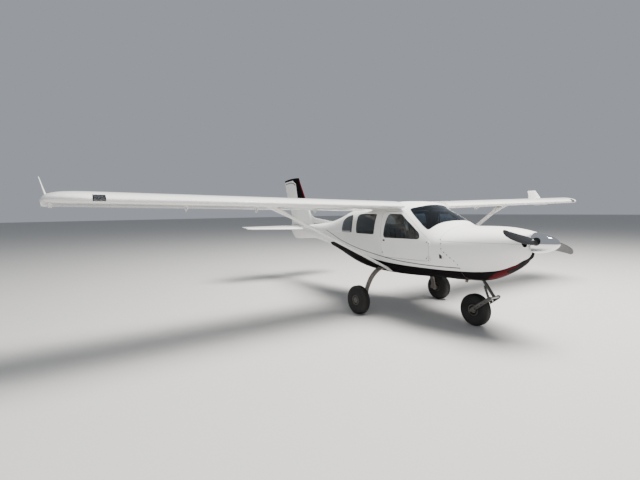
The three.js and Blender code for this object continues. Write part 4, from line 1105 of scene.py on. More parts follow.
# %% [markdown]
# The cowl covers the engine in an upper and a lower half. Two round intakes lie beside the spinner, each
# with a thin bright lip, and a duct behind it hides the back of the paint.

# %% Cowl
COWL_SKIN = 0.008
COWL_SPLIT_Z = 1.156
PROP_Z = 1.161
SHAFT_HOLE = 0.062
INTAKE_Y = 0.185
INTAKE_Z = 1.158
INTAKE_RADIUS = 0.042
INTAKE_DEPTH = 0.082
NOSE_ROOM = 0.028
LIP = 0.003
LIP_PROUD = 0.0015
DUCT_REAR = 2.745
DUCT_INWARD = 0.015


def through_front(name, y, z, radius, depth=INTAKE_DEPTH, sides=48):
    """A round cutter through the flat front of the cowl."""
    return rod(name, (NOSE_END - depth, y, z), (NOSE_END + NOSE_ROOM, y, z), radius, sides)


cowl_inner = tool(fuselage_body("cowl_inner", TAIL_END + 0.4, NOSE_END - 0.012, COWL_SKIN))
cowl_whole = tool(prism("cowl_whole", grown(COWL_REAR, -COWL_SEAM), -ROOM_HALF, ROOM_HALF))
intakes = [tool(through_front("intake", side * INTAKE_Y, INTAKE_Z, INTAKE_RADIUS)) for side in (-1, 1)]
shaft_hole = tool(through_front("shaft_hole", 0, PROP_Z, SHAFT_HOLE))
cowl = tool(copy_of(outer, "cowl"))
carve(cowl, cowl_inner, shaft_hole, *intakes, leg_hole, exhaust_hole, within=cowl_whole)
COWL_HALVES = {
    "cowl_upper": (COWL_SPLIT_Z + COWL_SEAM, 2),
    "cowl_lower": (0, COWL_SPLIT_Z - COWL_SEAM),
}
for half, (low, high) in COWL_HALVES.items():
    room = tool(block("half", (0, -ROOM_HALF, low), (3.3, ROOM_HALF, high)))
    part = carve(copy_of(cowl, half + "_skin"), within=room)
    lined(part, COWL_SKIN, paint_striped, seal_rubber)
    settled(part, "airframe", "white_paint", half, angle=40)

# %% Intake lips and ducts
lip_body = tool(fuselage_body("lip_body", 2.7, NOSE_END - 0.006, -LIP_PROUD))
for word, side in SIDES.items():
    place = (side * INTAKE_Y, INTAKE_Z)
    lip = through_front("intake_lip_" + word, *place, INTAKE_RADIUS + LIP, 0.06)
    carve(lip, tool(through_front("lip_hole", *place, INTAKE_RADIUS - 0.001, 0.07)))
    carve(lip, within=lip_body)
    settled(coated(lip, chrome), "airframe", "white_paint")
    foot = Vector((DUCT_REAR, side * (INTAKE_Y - DUCT_INWARD), INTAKE_Z))
    duct = turned_ring("intake_duct_" + word, foot, FORE,
                       [(0.052, 0), (0.045, 0.11), (0.0425, 0.11), (0.049, 0)])
    settled(coated(duct, seal_rubber), "airframe", "cabin_trim")

# %% [markdown]
# Flaps and ailerons turn about a line in the wing. A tube with a round nose about that line, wider by the
# running gap, is taken out of the wing to leave its cove. The same tube without the gap takes the moving
# surface out of a second copy.

# %% Wings, flaps and ailerons
HINGE_X = 0.548
HINGE_Z = 1.581
HINGE_RADIUS = 0.033
RUNNING_GAP = 0.005
FLAP_SPAN = (0.640, 3.385)
AILERON_SPAN = (3.400, 4.600)
PIN_RADIUS = 0.006
PIN_IN = 0.02
NOSE_STEPS = 24
LAMP_SPAN = (4.262, 4.372)
LAMP_REAR = 1.256
LAMP_LOW = LEADING_EDGE_Z + DIHEDRAL * LAMP_SPAN[0] - 0.016
LAMP_GAP = 0.0004


def hinged_outline(radius, gap, chord):
    """What turns about a hinge line at its origin: a round nose and all that lies behind it."""
    nose = []
    for i in range(NOSE_STEPS + 1):
        angle = -math.pi / 2 + math.pi * i / NOSE_STEPS
        x, z = (radius + gap) * math.cos(angle), (radius + gap) * math.sin(angle)
        if x > gap + 0.001:
            nose.append((x, z))
    return nose + [(gap, 0.1), (-chord, 0.1), (-chord, -0.1), (gap, -0.1)]


def wing_hinged(name, side, span, gap):
    """The room of a flap or aileron in the wing."""
    rings = []
    outline = hinged_outline(HINGE_RADIUS, gap, 0.4)
    for y in (span[0] - gap, span[1] + gap):
        rings.append([Vector((HINGE_X + x, side * y, HINGE_Z + DIHEDRAL * y + z)) for x, z in outline])
    return tool(loft(name, rings))


def hinge_pins(side, span):
    """The pins at the two ends of a flap or aileron."""
    reach = RUNNING_GAP - CLEARANCE
    ends = ((span[0] - reach, span[0] + PIN_IN), (span[1] - PIN_IN, span[1] + reach))
    spots = [[Vector((HINGE_X, side * y, HINGE_Z + DIHEDRAL * y)) for y in pair] for pair in ends]
    return [coated(rod("pin", low, high, PIN_RADIUS, 20), steel) for low, high in spots]


BRACKETS_Y = (1.430, 2.373, 3.314)
BRACKET_SIDE = [(0.560, 0.030), (0.350, 0.010), (0.385, -0.046), (0.400, -0.046)]
BRACKET_HALF = 0.003
BRACKET_BOLT = (0.396, -0.037)
BOLT_HALF = 0.006
BOLT_RADIUS = 0.0045


def flap_brackets(side):
    """The hinge plates under the flap, with a bolt at the lowest corner."""
    made = []
    for y in BRACKETS_Y:
        low = TRAILING_EDGE_Z + DIHEDRAL * y
        outline = rounded([(x, low + z) for x, z in BRACKET_SIDE], radius=0.012)
        plate = prism("plate", outline, side * (y - BRACKET_HALF), side * (y + BRACKET_HALF))
        made.append(coated(plate, paint_white))
        x, z = BRACKET_BOLT[0], low + BRACKET_BOLT[1]
        bolt = rod("bolt", (x, side * (y - BOLT_HALF), z), (x, side * (y + BOLT_HALF), z), BOLT_RADIUS, 12)
        made.append(coated(bolt, steel_dark))
    return made


def lamp_room(side, gap):
    """The room of the landing light in the wing's nose."""
    low = (LAMP_REAR - gap, side * (LAMP_SPAN[0] - gap), LAMP_LOW - gap)
    high = (1.4, side * (LAMP_SPAN[1] + gap), 1.9)
    return tool(block("lamp_room", low, high))


for word, side in SIDES.items():
    whole = whole_wings[word]
    wing = carve(
        copy_of(whole, "wing_skin_" + word),
        wing_hinged("flap_cove", side, FLAP_SPAN, RUNNING_GAP),
        wing_hinged("aileron_cove", side, AILERON_SPAN, RUNNING_GAP),
        lamp_room(side, LAMP_GAP),
    )
    settled(coated(wing, paint_white), "airframe", "white_paint", "wing_" + word)
    flap = carve(copy_of(whole, "flap"), within=wing_hinged("flap_room", side, FLAP_SPAN, 0))
    parts = [coated(flap, paint_white), *flap_brackets(side), *hinge_pins(side, FLAP_SPAN)]
    settled(joined("flap_skin_" + word, parts), "flap_" + word, "white_paint", "flap_" + word)
    room = wing_hinged("aileron_room", side, AILERON_SPAN, 0)
    aileron = carve(copy_of(whole, "aileron"), within=room)
    parts = [coated(aileron, paint_white), *hinge_pins(side, AILERON_SPAN)]
    settled(joined("aileron_skin_" + word, parts), "aileron_" + word, "white_paint", "aileron_" + word)

# %% [markdown]
# A strut carries each wing from the lower corner of the fuselage. It is a streamlined tube, which is an
# ellipse with its thickest place ahead of the middle, and it flares into a cuff where it meets the wing.

# %% Struts
STRUT_FOOT = Vector((0.944, 0.470, 0.676))
STRUT_SLOPE = (1.527 - 0.690) / (2.214 - 0.500)
# Distance out, chord and thickness
STRUT_STATIONS = [(0.410, 0.092, 0.040), (2.120, 0.092, 0.040), (2.240, 0.130, 0.056), (2.520, 0.210, 0.080)]
STRUT_SIDES = 40
STRUT_FULLNESS = 0.16
ABOVE_WING_Z = 1.610 + DIHEDRAL * 2.4


def strut_ring(y, side):
    """A section of the strut, square to the span."""
    _, chord, thick = smooth_row(STRUT_STATIONS, y)
    ring = []
    for angle in around(STRUT_SIDES):
        fullness = 1 + STRUT_FULLNESS * math.cos(angle)
        ahead = chord / 2 * math.cos(angle)
        above = thick / 2 * math.sin(angle) * fullness
        z = STRUT_FOOT.z + (y - STRUT_FOOT.y) * STRUT_SLOPE
        ring.append(Vector((STRUT_FOOT.x + ahead, side * y, z + above)))
    return ring


for word, side in SIDES.items():
    spans = steps(0.41, 2.12, 0.35) + steps(2.14, 2.52, 0.03)
    strut = loft("strut_tube_" + word, [strut_ring(y, side) for y in spans])
    above_wing = tool(block("above_wing", (0, side * 1.5, ABOVE_WING_Z), (2, side * 3, 2)))
    carve(strut, outer, whole_wings[word], above_wing)
    settled(coated(strut, paint_white), "airframe", "white_paint", "strut_" + word)

# %% Winglets
# z, x, distance out, chord and thickness
WINGLET_STATIONS = [
    (1.630, 0.345, 4.712, 0.130, 0.040),
    (1.705, 0.268, 4.732, 0.300, 0.040),
    (1.795, 0.246, 4.757, 0.280, 0.024),
    (1.970, 0.150, 4.804, 0.180, 0.010),
]
# z, and the shares of chord and thickness that are left there
TIP_ROUND = [(1.962, 1.0, 0.9), (1.968, 0.97, 0.6), (1.970, 0.93, 0.25)]
WINGLET_STEPS = 16


def plate_ring(z, side, chord_share=1.0, thick_share=1.0):
    """The winglet's section at a height: thin, symmetric and level."""
    _, x, y, chord, thick = smooth_row(WINGLET_STATIONS, z)
    ring = []
    for t, face in section_walk(WINGLET_STEPS, -1):
        half = thick * thick_share * thickness_curve(t)
        ring.append(Vector((x + chord * chord_share * (0.5 - t), side * (y + face * half), z)))
    return ring


for word, side in SIDES.items():
    rings = [plate_ring(z, side) for z in steps(1.630, 1.950, 0.04)]
    rings += [plate_ring(z, side, *shares) for z, *shares in TIP_ROUND]
    winglet = carve(loft("winglet_fin_" + word, rings), whole_wings[word])
    settled(coated(winglet, paint_white), "airframe", "white_paint", "winglet_" + word)

# %% [markdown]
# The fin's foot runs forward in a concave fillet that ends in a thin edge on the tail cone. A plate with
# that outline would look sawn out, so each level is a section whose leading edge comes from the outline.

# %% Fin with its fillet, and rudder
# z, leading edge x, trailing edge x and thickness
FIN_STATIONS = [
    (1.200, -1.880, -2.896, 0.084),
    (1.494, -2.046, -2.906, 0.072),
    (1.846, -2.266, -3.078, 0.060),
    (2.294, -2.540, -3.224, 0.044),
]
FIN_TOP_TILT = 0.044
FIN_CROWN = 0.0198
TILT_FROM = 2.200
TILT_RUN = 0.094
# The fillet: height and x of its front edge, then the share of its length and of its width along it
DORSAL_EDGE = [(1.300, -0.840), (1.372, -1.500), (1.402, -1.836), (1.440, -1.960), (1.520, -2.060),
               (1.700, -2.180)]
DORSAL_PROFILE = [(0.0, 0.10), (0.03, 0.35), (0.10, 0.62), (0.25, 0.85), (0.5, 1.0), (1.0, 1.0)]
DORSAL_REAR = -2.30
DORSAL_HALF = 0.016
RUDDER_HINGE = (-2.649, 1.870, 0.18)
RUDDER_RADIUS = 0.031
RUDDER_BASE_Z = 1.254
RUDDER_PIN_Z = (1.2486, 1.284)
FIN_STEPS = 30
FIN_LEVELS = [*steps(1.20, 2.20, 0.05), 2.23, 2.26, 2.275, 2.284]
# z, and the share of thickness that is left there
FIN_CLOSING = [(2.289, 0.9), (2.292, 0.65), (2.294, 0.3)]


def between(table, value):
    """A value read from a table of pairs by straight lines."""
    for low, high in zip(table, table[1:]):
        if value <= high[0]:
            share = (value - low[0]) / (high[0] - low[0])
            return low[1] + (high[1] - low[1]) * share
    return table[-1][1]


def fin_ring(z, reach=1.0):
    """The fin's section at a height."""
    _, lead, trail, thick = smooth_row(FIN_STATIONS, z)
    ring = []
    for t, face in section_walk(FIN_STEPS, -1):
        x = lead + (trail - lead) * t
        crown = FIN_CROWN * (1 - (2 * t - 1) ** 2)
        share = max(0, min(1, (z - TILT_FROM) / TILT_RUN))
        rise = ((x - (lead + trail) / 2) * FIN_TOP_TILT + crown) * share
        half = face * thick * thickness_curve(t) * reach
        ring.append(Vector((x, half, z + rise)))
    return ring


def rudder_x(z):
    """Where the rudder's leaning hinge line is at a height."""
    place, level, slope = RUDDER_HINGE
    return place - slope * (z - level)


def rudder_room(name, gap, base):
    """What turns about the rudder's hinge line."""
    outline = hinged_outline(RUDDER_RADIUS, gap, 0.7)
    return tool(loft(name, [[Vector((rudder_x(z) + x, y, z)) for x, y in outline] for z in (base, 2.4)]))


rings = [fin_ring(z) for z in FIN_LEVELS] + [fin_ring(z, share) for z, share in FIN_CLOSING]
fin_whole = tool(loft("fin_whole", rings))
rudder_cove = rudder_room("rudder_cove", RUNNING_GAP, 1.1)
fin_skin = carve(copy_of(fin_whole, "fin_skin"), outer, rudder_cove)
settled(coated(fin_skin, paint_fin), "airframe", "white_paint", "fin")


def dorsal_ring(z):
    """A level of the fillet: thin at its front edge, as thick as its web behind."""
    front = between(DORSAL_EDGE, z)
    length = front - DORSAL_REAR
    web = DORSAL_HALF * min(1.0, 0.45 + 0.55 * min(1, length / 1.2)) * (1.0 if z < 1.5 else 1.05)
    over = [Vector((front - length * t, web * width, z)) for t, width in DORSAL_PROFILE]
    under = [Vector((point.x, -point.y, z)) for point in reversed(over)]
    return over + under


dorsal = loft("fin_fillet", [dorsal_ring(z) for z in steps(1.300, 1.700, 0.008)])
carve(dorsal, outer, fin_whole)
settled(coated(dorsal, paint_white), "airframe", "white_paint")

rudder = carve(copy_of(fin_whole, "rudder"), within=rudder_room("rudder_room", 0, RUDDER_BASE_Z))
pin_ends = [Vector((rudder_x(z), 0, z)) for z in RUDDER_PIN_Z]
rudder_pin = coated(rod("pin", *pin_ends, PIN_RADIUS, 20), steel)
settled(joined("rudder_skin", [coated(rudder, paint_fin), rudder_pin]), "rudder", "white_paint", "rudder")

# %% Tailplane and elevator
# Distance out, leading edge x, trailing edge x and thickness
TAIL_STATIONS = [
    (0.040, -2.216, -2.880, 0.062),
    (1.200, -2.452, -2.846, 0.042),
    (1.287, -2.500, -2.838, 0.026),
]
TAIL_TE_Z = 1.222
TAIL_RISE = 0.09
ELEVATOR_X = -2.636
ELEVATOR_Z = TAIL_TE_Z - TAIL_RISE * (ELEVATOR_X + 2.870)
ELEVATOR_RADIUS = 0.025
TORQUE_TUBE = 0.013
TUBE_HALF = 0.140
ELEVATOR_SPAN = (0.02, 1.387)
TAIL_SPANS = [0.04, 0.3, 0.6, 0.9, 1.15, 1.2, 1.23, 1.255, 1.27]
TAIL_CLOSING = [(1.279, 0.85), (1.284, 0.6), (1.287, 0.25)]
SWING_ROOM = [(-2.576, 0.0), (-2.576, 0.082), (-2.636, 0.082), (-2.960, 0.200), (-2.960, 0.0)]


def tail_ring(y, side, close=1.0):
    """The tailplane's section at a distance out."""
    _, lead, trail, thick = smooth_row(TAIL_STATIONS, y)
    ring = []
    for t, face in section_walk(FIN_STEPS):
        x = lead + (trail - lead) * t
        half = face * thick * close * thickness_curve(t)
        ring.append(Vector((x, side * y, TAIL_TE_Z - TAIL_RISE * (x - trail) + half)))
    return ring


def elevator_room(name, side, gap):
    """What turns about the elevator's hinge line, on one side."""
    outline = hinged_outline(ELEVATOR_RADIUS, gap, 0.3)
    rings = []
    for y in ELEVATOR_SPAN:
        rings.append([Vector((ELEVATOR_X + x, side * y, ELEVATOR_Z + z)) for x, z in outline])
    return tool(loft(name, rings))


elevator_parts = []
for word, side in SIDES.items():
    rings = [tail_ring(y, side) for y in TAIL_SPANS]
    rings += [tail_ring(y, side, share) for y, share in TAIL_CLOSING]
    whole = tool(loft("tail_whole", rings))
    cove = elevator_room("elevator_cove", side, RUNNING_GAP)
    half = carve(copy_of(whole, "tailplane_skin_" + word), outer, cove)
    settled(coated(half, paint_white), "airframe", "white_paint", "tailplane_" + word)
    room = tool(prism("swing_room", [(x, side * y) for x, y in SWING_ROOM], 0.9, 1.5, across="Z"))
    moving = copy_of(whole, "elevator_half")
    carve(moving, room, within=elevator_room("elevator_room", side, 0))
    elevator_parts.append(coated(moving, paint_white))
tube_ends = [Vector((ELEVATOR_X, reach, ELEVATOR_Z)) for reach in (-TUBE_HALF, TUBE_HALF)]
elevator_parts.append(coated(rod("torque_tube", *tube_ends, TORQUE_TUBE, 24), steel))
settled(joined("elevator_skin", elevator_parts), "elevator", "white_paint", "elevator")

# %% [markdown]
# Each main leg is one curved leaf of laminated composite, wide at the cabin and narrow at the axle. A few
# places along it give its bend, and each section is a rounded rectangle. Wheels are turned forms, because a
# lathe profile holds the bead, the side wall and the tread grooves in a single line.

# %% Main legs
AXLE = Vector((0.764, 0.891, 0.215))
AXLE_RADIUS = 0.017
# Distance out and height
LEAF = [(0.400, 0.668), (0.470, 0.655), (0.548, 0.612), (0.628, 0.540), (0.694, 0.440),
        (0.738, 0.330), (0.762, 0.200)]
LEAF_STEPS = 6
# Half the width and half the thickness at the cabin, and how much each loses from one place to the next
LEAF_HALF = (0.055, 0.003)
LEAF_THICK = (0.014, 0.0005)
# Distance out of the axle's two ends, and of the nut's outer face
AXLE_ENDS = (0.762, 0.9475)
NUT_END = 0.953
LEAF_CORNER = 0.007
leaf_table = [(float(i), y, z) for i, (y, z) in enumerate(LEAF)]
leaf_path = [smooth_row(leaf_table, i / LEAF_STEPS) for i in range((len(LEAF) - 1) * LEAF_STEPS + 1)]


def leaf_ring(i, side):
    """A section of the leg, square to its curve."""
    share, y, z = leaf_path[i]
    before, after = leaf_path[max(i - 1, 0)], leaf_path[min(i + 1, len(leaf_path) - 1)]
    along = Vector((after[1] - before[1], after[2] - before[2])).normalized()
    half, thick = [start - loss * share for start, loss in (LEAF_HALF, LEAF_THICK)]
    corners = rounded([(-half, -thick), (half, -thick), (half, thick), (-half, thick)], LEAF_CORNER, 4)
    return [Vector((AXLE.x + a, side * (y - b * along.y), z + b * along.x)) for a, b in corners]


for word, side in SIDES.items():
    leaf = carve(loft("leaf", [leaf_ring(i, side) for i in range(len(leaf_path))]), outer)
    ends = [Vector((AXLE.x, side * y, AXLE.z)) for y in (*AXLE_ENDS, NUT_END)]
    parts = [
        coated(leaf, leg_composite),
        coated(rod("axle", ends[0], ends[1], AXLE_RADIUS, 32), steel),
        coated(rounded_edges(rod("nut", ends[1], ends[2], AXLE_RADIUS, 6), 0.0008), steel_dark),
    ]
    settled(joined("leg_" + word, parts), "airframe", "gear_steel", "main_leg_" + word)

# %% Wheels and tyres
RIM_RADIUS = 0.0760
MAIN_WIDTH = 0.150
# The web between these radii is alloy, and the hub and the lip are dark
RIM_WEB = (0.0415, 0.0655)
TYRE_RADIUS = 0.215
TYRE_SIDES = 96
GROOVE_HALF = 0.002
GROOVE_DEPTH = 0.0045
GROOVE_STEP = 0.0135


def softened(points, times=2):
    """An open line with its corners cut twice, which bends it into a curve."""
    for _ in range(times):
        cut = [points[0]]
        for (r0, y0), (r1, y1) in zip(points, points[1:]):
            cut.append((r0 * 0.75 + r1 * 0.25, y0 * 0.75 + y1 * 0.25))
            cut.append((r0 * 0.25 + r1 * 0.75, y0 * 0.25 + y1 * 0.75))
        points = cut + [points[-1]]
    return points


def tyre_profile(radius, width):
    """The tyre's section from one bead over the grooved tread to the other."""
    half = width / 2
    flank = softened([
        (RIM_RADIUS, half - 0.022),
        (RIM_RADIUS + 0.006, half - 0.010),
        (radius - 0.095, half - 0.004),
        (radius - 0.052, half),
        (radius - 0.017, half - 0.012),
        (radius - 0.001, half - 0.034),
        (radius, half - 0.048),
    ])
    tread = []
    for step in (-1.5, -0.5, 0.5, 1.5):
        y = step * GROOVE_STEP
        edge = GROOVE_HALF - 0.0006
        tread += [(radius, y - GROOVE_HALF), (radius - GROOVE_DEPTH, y - edge)]
        tread += [(radius - GROOVE_DEPTH, y + edge), (radius, y + GROOVE_HALF)]
    return [(r, -y) for r, y in flank] + tread + [(r, y) for r, y in reversed(flank)]


def rim_profile(width):
    """The rim's section: a hub flange, a dished web and a barrel with a rounded lip."""
    half = width / 2 - 0.014
    face = [(0.0174, half - 0.006), (0.040, half - 0.006), (0.043, half - 0.009), (0.047, half - 0.026),
            (0.062, half - 0.004), (0.0645, half), (0.074, half), (0.0759, half - 0.003)]
    return [(r, -y) for r, y in face] + [(r, y) for r, y in reversed(face)]


def wheel(name, centre, width, body, rim_node, tyre_node):
    """A tyre on its rim."""
    tyre = turned_ring(name + "_tyre", centre, Y_AXIS, tyre_profile(TYRE_RADIUS, width), TYRE_SIDES)
    settled(coated(tyre, tyre_rubber), body, "tyre_rubber", tyre_node, angle=40)
    rim = turned_ring(name + "_rim", centre, Y_AXIS, rim_profile(width), 72)
    coated(rim, rim_alloy, steel_dark)
    for face in rim.data.polygons:
        away = math.hypot(face.center.x - centre.x, face.center.z - centre.z)
        face.material_index = int(away < RIM_WEB[0] or away > RIM_WEB[1])
    settled(rim, body, "rim_metal", rim_node)


BRAKE_RADIUS = 0.046
BRAKE_Y = 0.778
for word, side in SIDES.items():
    centre = Vector((AXLE.x, side * AXLE.y, AXLE.z))
    wheel("main_" + word, centre, MAIN_WIDTH, "wheel_" + word, "wheel_" + word, "tyre_" + word)
    disc = turned_ring("disc", Vector((AXLE.x, side * BRAKE_Y, AXLE.z)), Vector((0, side, 0)),
                       [(0.0176, 0), (BRAKE_RADIUS, 0), (BRAKE_RADIUS, 0.006), (0.030, 0.007),
                        (0.030, 0.018), (0.0176, 0.018)])
    low = (AXLE.x - 0.095, side * 0.782, AXLE.z - 0.028)
    high = (AXLE.x - 0.038, side * 0.804, AXLE.z + 0.028)
    caliper = rounded_edges(block("caliper", low, high), 0.005)
    parts = [coated(disc, brake_iron), coated(caliper, steel_dark)]
    settled(joined("brake_unit_" + word, parts), "airframe", "gear_steel", "brake_" + word)

# %% [markdown]
# The nose leg leans forward to a pivot, and a fork with pierced arms trails from there to the axle. The arms
# are drawn as outlines with round holes, cut by rods, and their edges are rounded so they catch the light.

# %% Nose gear
NOSE_AXLE = Vector((2.157, 0, 0.215))
NOSE_WIDTH = 0.140
PIVOT = Vector((2.436, 0, 0.428))
LEG_BEND = Vector((2.264, 0, 0.640))
LEG_RADIUS = 0.021
leg_line = (PIVOT - LEG_BEND).normalized()
leg_end = PIVOT - leg_line * 0.005
leg_room = tool(rod("leg_room", LEG_BEND, leg_end + leg_line * CLEARANCE, LEG_RADIUS + CLEARANCE, 32))
upright = turned("upright", Vector((NOSE_LEG_X, 0, 0.622)), UP, [
    (0.030, 0), (0.034, 0.004), (0.034, 0.034), (0.030, 0.038), (0.026, 0.040), (0.026, 0.1777)], 40)
parts = [coated(upright, gear_grey), coated(rod("leg_tube", LEG_BEND, leg_end, LEG_RADIUS, 36), gear_grey)]
settled(joined("nose_leg_tube", parts), "nose_gear", "gear_steel", "nose_leg")

FORK_Y = 0.092
ARM_HALF = 0.006
ARM = [(2.131, 0.205), (2.161, 0.188), (2.454, 0.410), (2.458, 0.442), (2.426, 0.450), (2.143, 0.242)]
ARM_HOLES = (0.20, 0.36, 0.52, 0.68)
ARM_HOLE_RADIUS = 0.0095
SHOCK_FOOT = Vector((2.358, 0, 0.380))
SHOCK_TOP = Vector((2.288, 0, 0.560))
SHOCK_END = Vector((2.350, 0, 0.404))


def cross_pin(name, centre, radius, reach=FORK_Y, sides=28):
    """A pin across the fork."""
    return rod(name, centre - Y_AXIS * reach, centre + Y_AXIS * reach, radius, sides)


fork_parts = []
holes = []
for share in ARM_HOLES:
    spot = NOSE_AXLE.lerp(PIVOT, share) + Vector((0.004, 0, -0.004))
    holes.append(tool(cross_pin("arm_hole", spot, ARM_HOLE_RADIUS, 0.2)))
for side in (-1, 1):
    arm = prism("arm", rounded(ARM, 0.014), side * (FORK_Y - ARM_HALF), side * (FORK_Y + ARM_HALF))
    carve(arm, *holes)
    fork_parts.append(coated(rounded_edges(arm, 0.0015, 2), gear_grey))
pins = ((PIVOT, 0.014), (SHOCK_FOOT, 0.011), (NOSE_AXLE, AXLE_RADIUS))
for spot, radius in pins:
    pin = cross_pin("fork_pin", spot, radius)
    if spot != NOSE_AXLE:
        carve(pin, leg_room)
    fork_parts.append(coated(pin, steel))
settled(joined("nose_fork_arms", fork_parts), "nose_gear", "gear_steel", "nose_fork")

shock_line = SHOCK_END - SHOCK_TOP
discs = []
for i in range(4):
    z = shock_line.length * (0.14 + 0.20 * i)
    discs += [(0.0135, z), (0.016, z + 0.004), (0.016, z + 0.024), (0.0135, z + 0.028)]
shock = turned("shock", SHOCK_TOP, shock_line, [(0.013, 0), *discs, (0.013, shock_line.length)], 36)
shock_room = tool(cross_pin("shock_room", SHOCK_FOOT, 0.0113))
carve(shock, leg_room, shock_room)
settled(coated(shock, gear_grey), "nose_gear", "gear_steel", "nose_shock")
wheel("nose", NOSE_AXLE, NOSE_WIDTH, "nose_wheel", "nose_wheel", "nose_tyre")

# %% [markdown]
# A propeller blade is a loft whose sections turn as they go out, because the tip moves faster than the
# root. Chord, thickness, pitch and sweep come from one table.

# %% Propeller
PROP_X = 3.012
PROP_RADIUS = 0.762
HUB_REAR = 2.9463
BLADE_TURN = math.radians(-12.3)
BLADE_TURNS = (BLADE_TURN, math.pi + BLADE_TURN)
# Distance out, chord, thickness, pitch angle in degrees and sweep
BLADE_STATIONS = [
    (0.045, 0.070, 0.034, 50, 0.0),
    (0.110, 0.084, 0.026, 44, 0.004),
    (0.240, 0.112, 0.018, 33, 0.012),
    (0.420, 0.108, 0.013, 23, 0.020),
    (0.620, 0.088, 0.009, 16, 0.016),
    (0.725, 0.066, 0.006, 14, 0.006),
    (PROP_RADIUS, 0.030, 0.004, 13, 0.0),
]
BLADE_TIP = [(0.752, 0.90), (0.758, 0.80), (0.761, 0.62), (PROP_RADIUS, 0.35)]
BLADE_SIDES = 36
ROOT_DISC = 0.0465


def blade_ring(r, turn, close=1.0):
    """A section of a blade: an ellipse turned by the pitch angle."""
    _, chord, thick, pitch, sweep = smooth_row(BLADE_STATIONS, r)
    p = math.radians(pitch)
    outward = Vector((0, math.cos(turn), math.sin(turn)))
    tangent = Vector((0, -math.sin(turn), math.cos(turn)))
    ring = []
    for angle in around(BLADE_SIDES):
        a = chord * close / 2 * math.cos(angle)
        b = thick * close / 2 * math.sin(angle)
        along = a * math.cos(p) - b * math.sin(p) + sweep
        ahead = a * math.sin(p) + b * math.cos(p)
        ring.append(Vector((PROP_X + ahead, 0, PROP_Z)) + outward * r + tangent * along)
    return ring


def blade_spot(turn, away):
    """A point on a blade's own line, at a distance from the shaft."""
    return Vector((PROP_X, 0, PROP_Z)) + Vector((0, math.cos(turn), math.sin(turn))) * away


parts = []
for turn in BLADE_TURNS:
    rings = [blade_ring(r, turn) for r in steps(BLADE_STATIONS[0][0], 0.745, 0.025)]
    rings += [blade_ring(r, turn, close) for r, close in BLADE_TIP]
    parts.append(coated(loft("blade", rings), blade_composite))
    disc = rod("root_disc", blade_spot(turn, 0.062), blade_spot(turn, 0.100), ROOT_DISC, 48)
    parts.append(coated(disc, blade_composite))
hub = turned("hub", Vector((HUB_REAR, 0, PROP_Z)), FORE,
             [(0.066, 0), (0.066, 0.088), (0.060, 0.094), (0.034, 0.094), (0.032, 0.1057)], 40)
parts.append(coated(hub, steel))
settled(joined("propeller_blades", parts), "propeller", "blade_composite", "propeller", angle=50)

# %% Spinner
SPINNER_BASE = 2.940
SPINNER_RADIUS = 0.121
SPINNER_LENGTH = 0.284
SPINNER_WALL = 0.006
BLADE_HOLE = 0.048


def spinner_profile(shrink, start, reach):
    """The spinner's line: (radius, height) from its base to its tip."""
    line = []
    for i in range(41):
        t = math.sin(math.pi / 2 * i / 40)
        radius = SPINNER_RADIUS * (1 - t**1.9) ** 0.56 - shrink * (1 + t)
        line.append((max(radius, 0.0002), start + reach * t))
    return line


base = Vector((SPINNER_BASE, 0, PROP_Z))
outside = [(SPINNER_RADIUS - 0.003, 0), *spinner_profile(0, 0.002, SPINNER_LENGTH - 0.002)]
spinner = turned("spinner_shell", base, FORE, outside, 96)
hollow_line = spinner_profile(SPINNER_WALL, SPINNER_WALL, SPINNER_LENGTH - 4 * SPINNER_WALL)
hollow = tool(turned("spinner_hollow", base, FORE, hollow_line, 64))
carve(spinner, hollow)
for turn in BLADE_TURNS:
    hole = rod("blade_hole", blade_spot(turn, 0.05), blade_spot(turn, 0.2), BLADE_HOLE, 48)
    carve(spinner, tool(hole))
settled(coated(spinner, chrome), "propeller", "spinner_chrome", "spinner", angle=40)

# %% [markdown]
# The seats are the one soft thing on board. A cushion starts as a slightly small block, which a voxel remesh
# turns into even cloth. Cloth simulation with air pressure then blows it up, so its crown and its drawn-in
# sides come from physics. A cap on how far a point may move keeps it inside its seat. One seat is made, and
# the other is its mirror image.

# %% Seat shells
seat_fabric = finish("seat_fabric", (0.20, 0.185, 0.165), grain=620, gloss=(0.8, 0.95), bump=0.5)
belt_web = finish("belt_webbing", (0.045, 0.047, 0.055), grain=900, gloss=(0.6, 0.8), bump=0.5)
SEAT_Y = (0.052, 0.453)
SEAT_SHELL = [(0.907, 0.6556), (1.408, 0.6556), (1.420, 0.812), (1.010, 0.790), (0.945, 0.830),
              (0.893, 1.328), (0.872, 1.346), (0.849, 1.330)]
VOXEL = 0.006
PRESSURE = 4.0
SIM_FRAMES = 20
PUFF_CAP = 0.022
# Each cushion: its outline in the side view, and how far its ends stand in from the seat's sides
BASE_PAD = [(1.040, 0.818), (1.395, 0.834), (1.404, 0.884), (1.060, 0.852)]
BACK_PAD = [(0.973, 0.880), (1.002, 0.884), (0.930, 1.300), (0.914, 1.306)]
PAD_INSET = 0.030


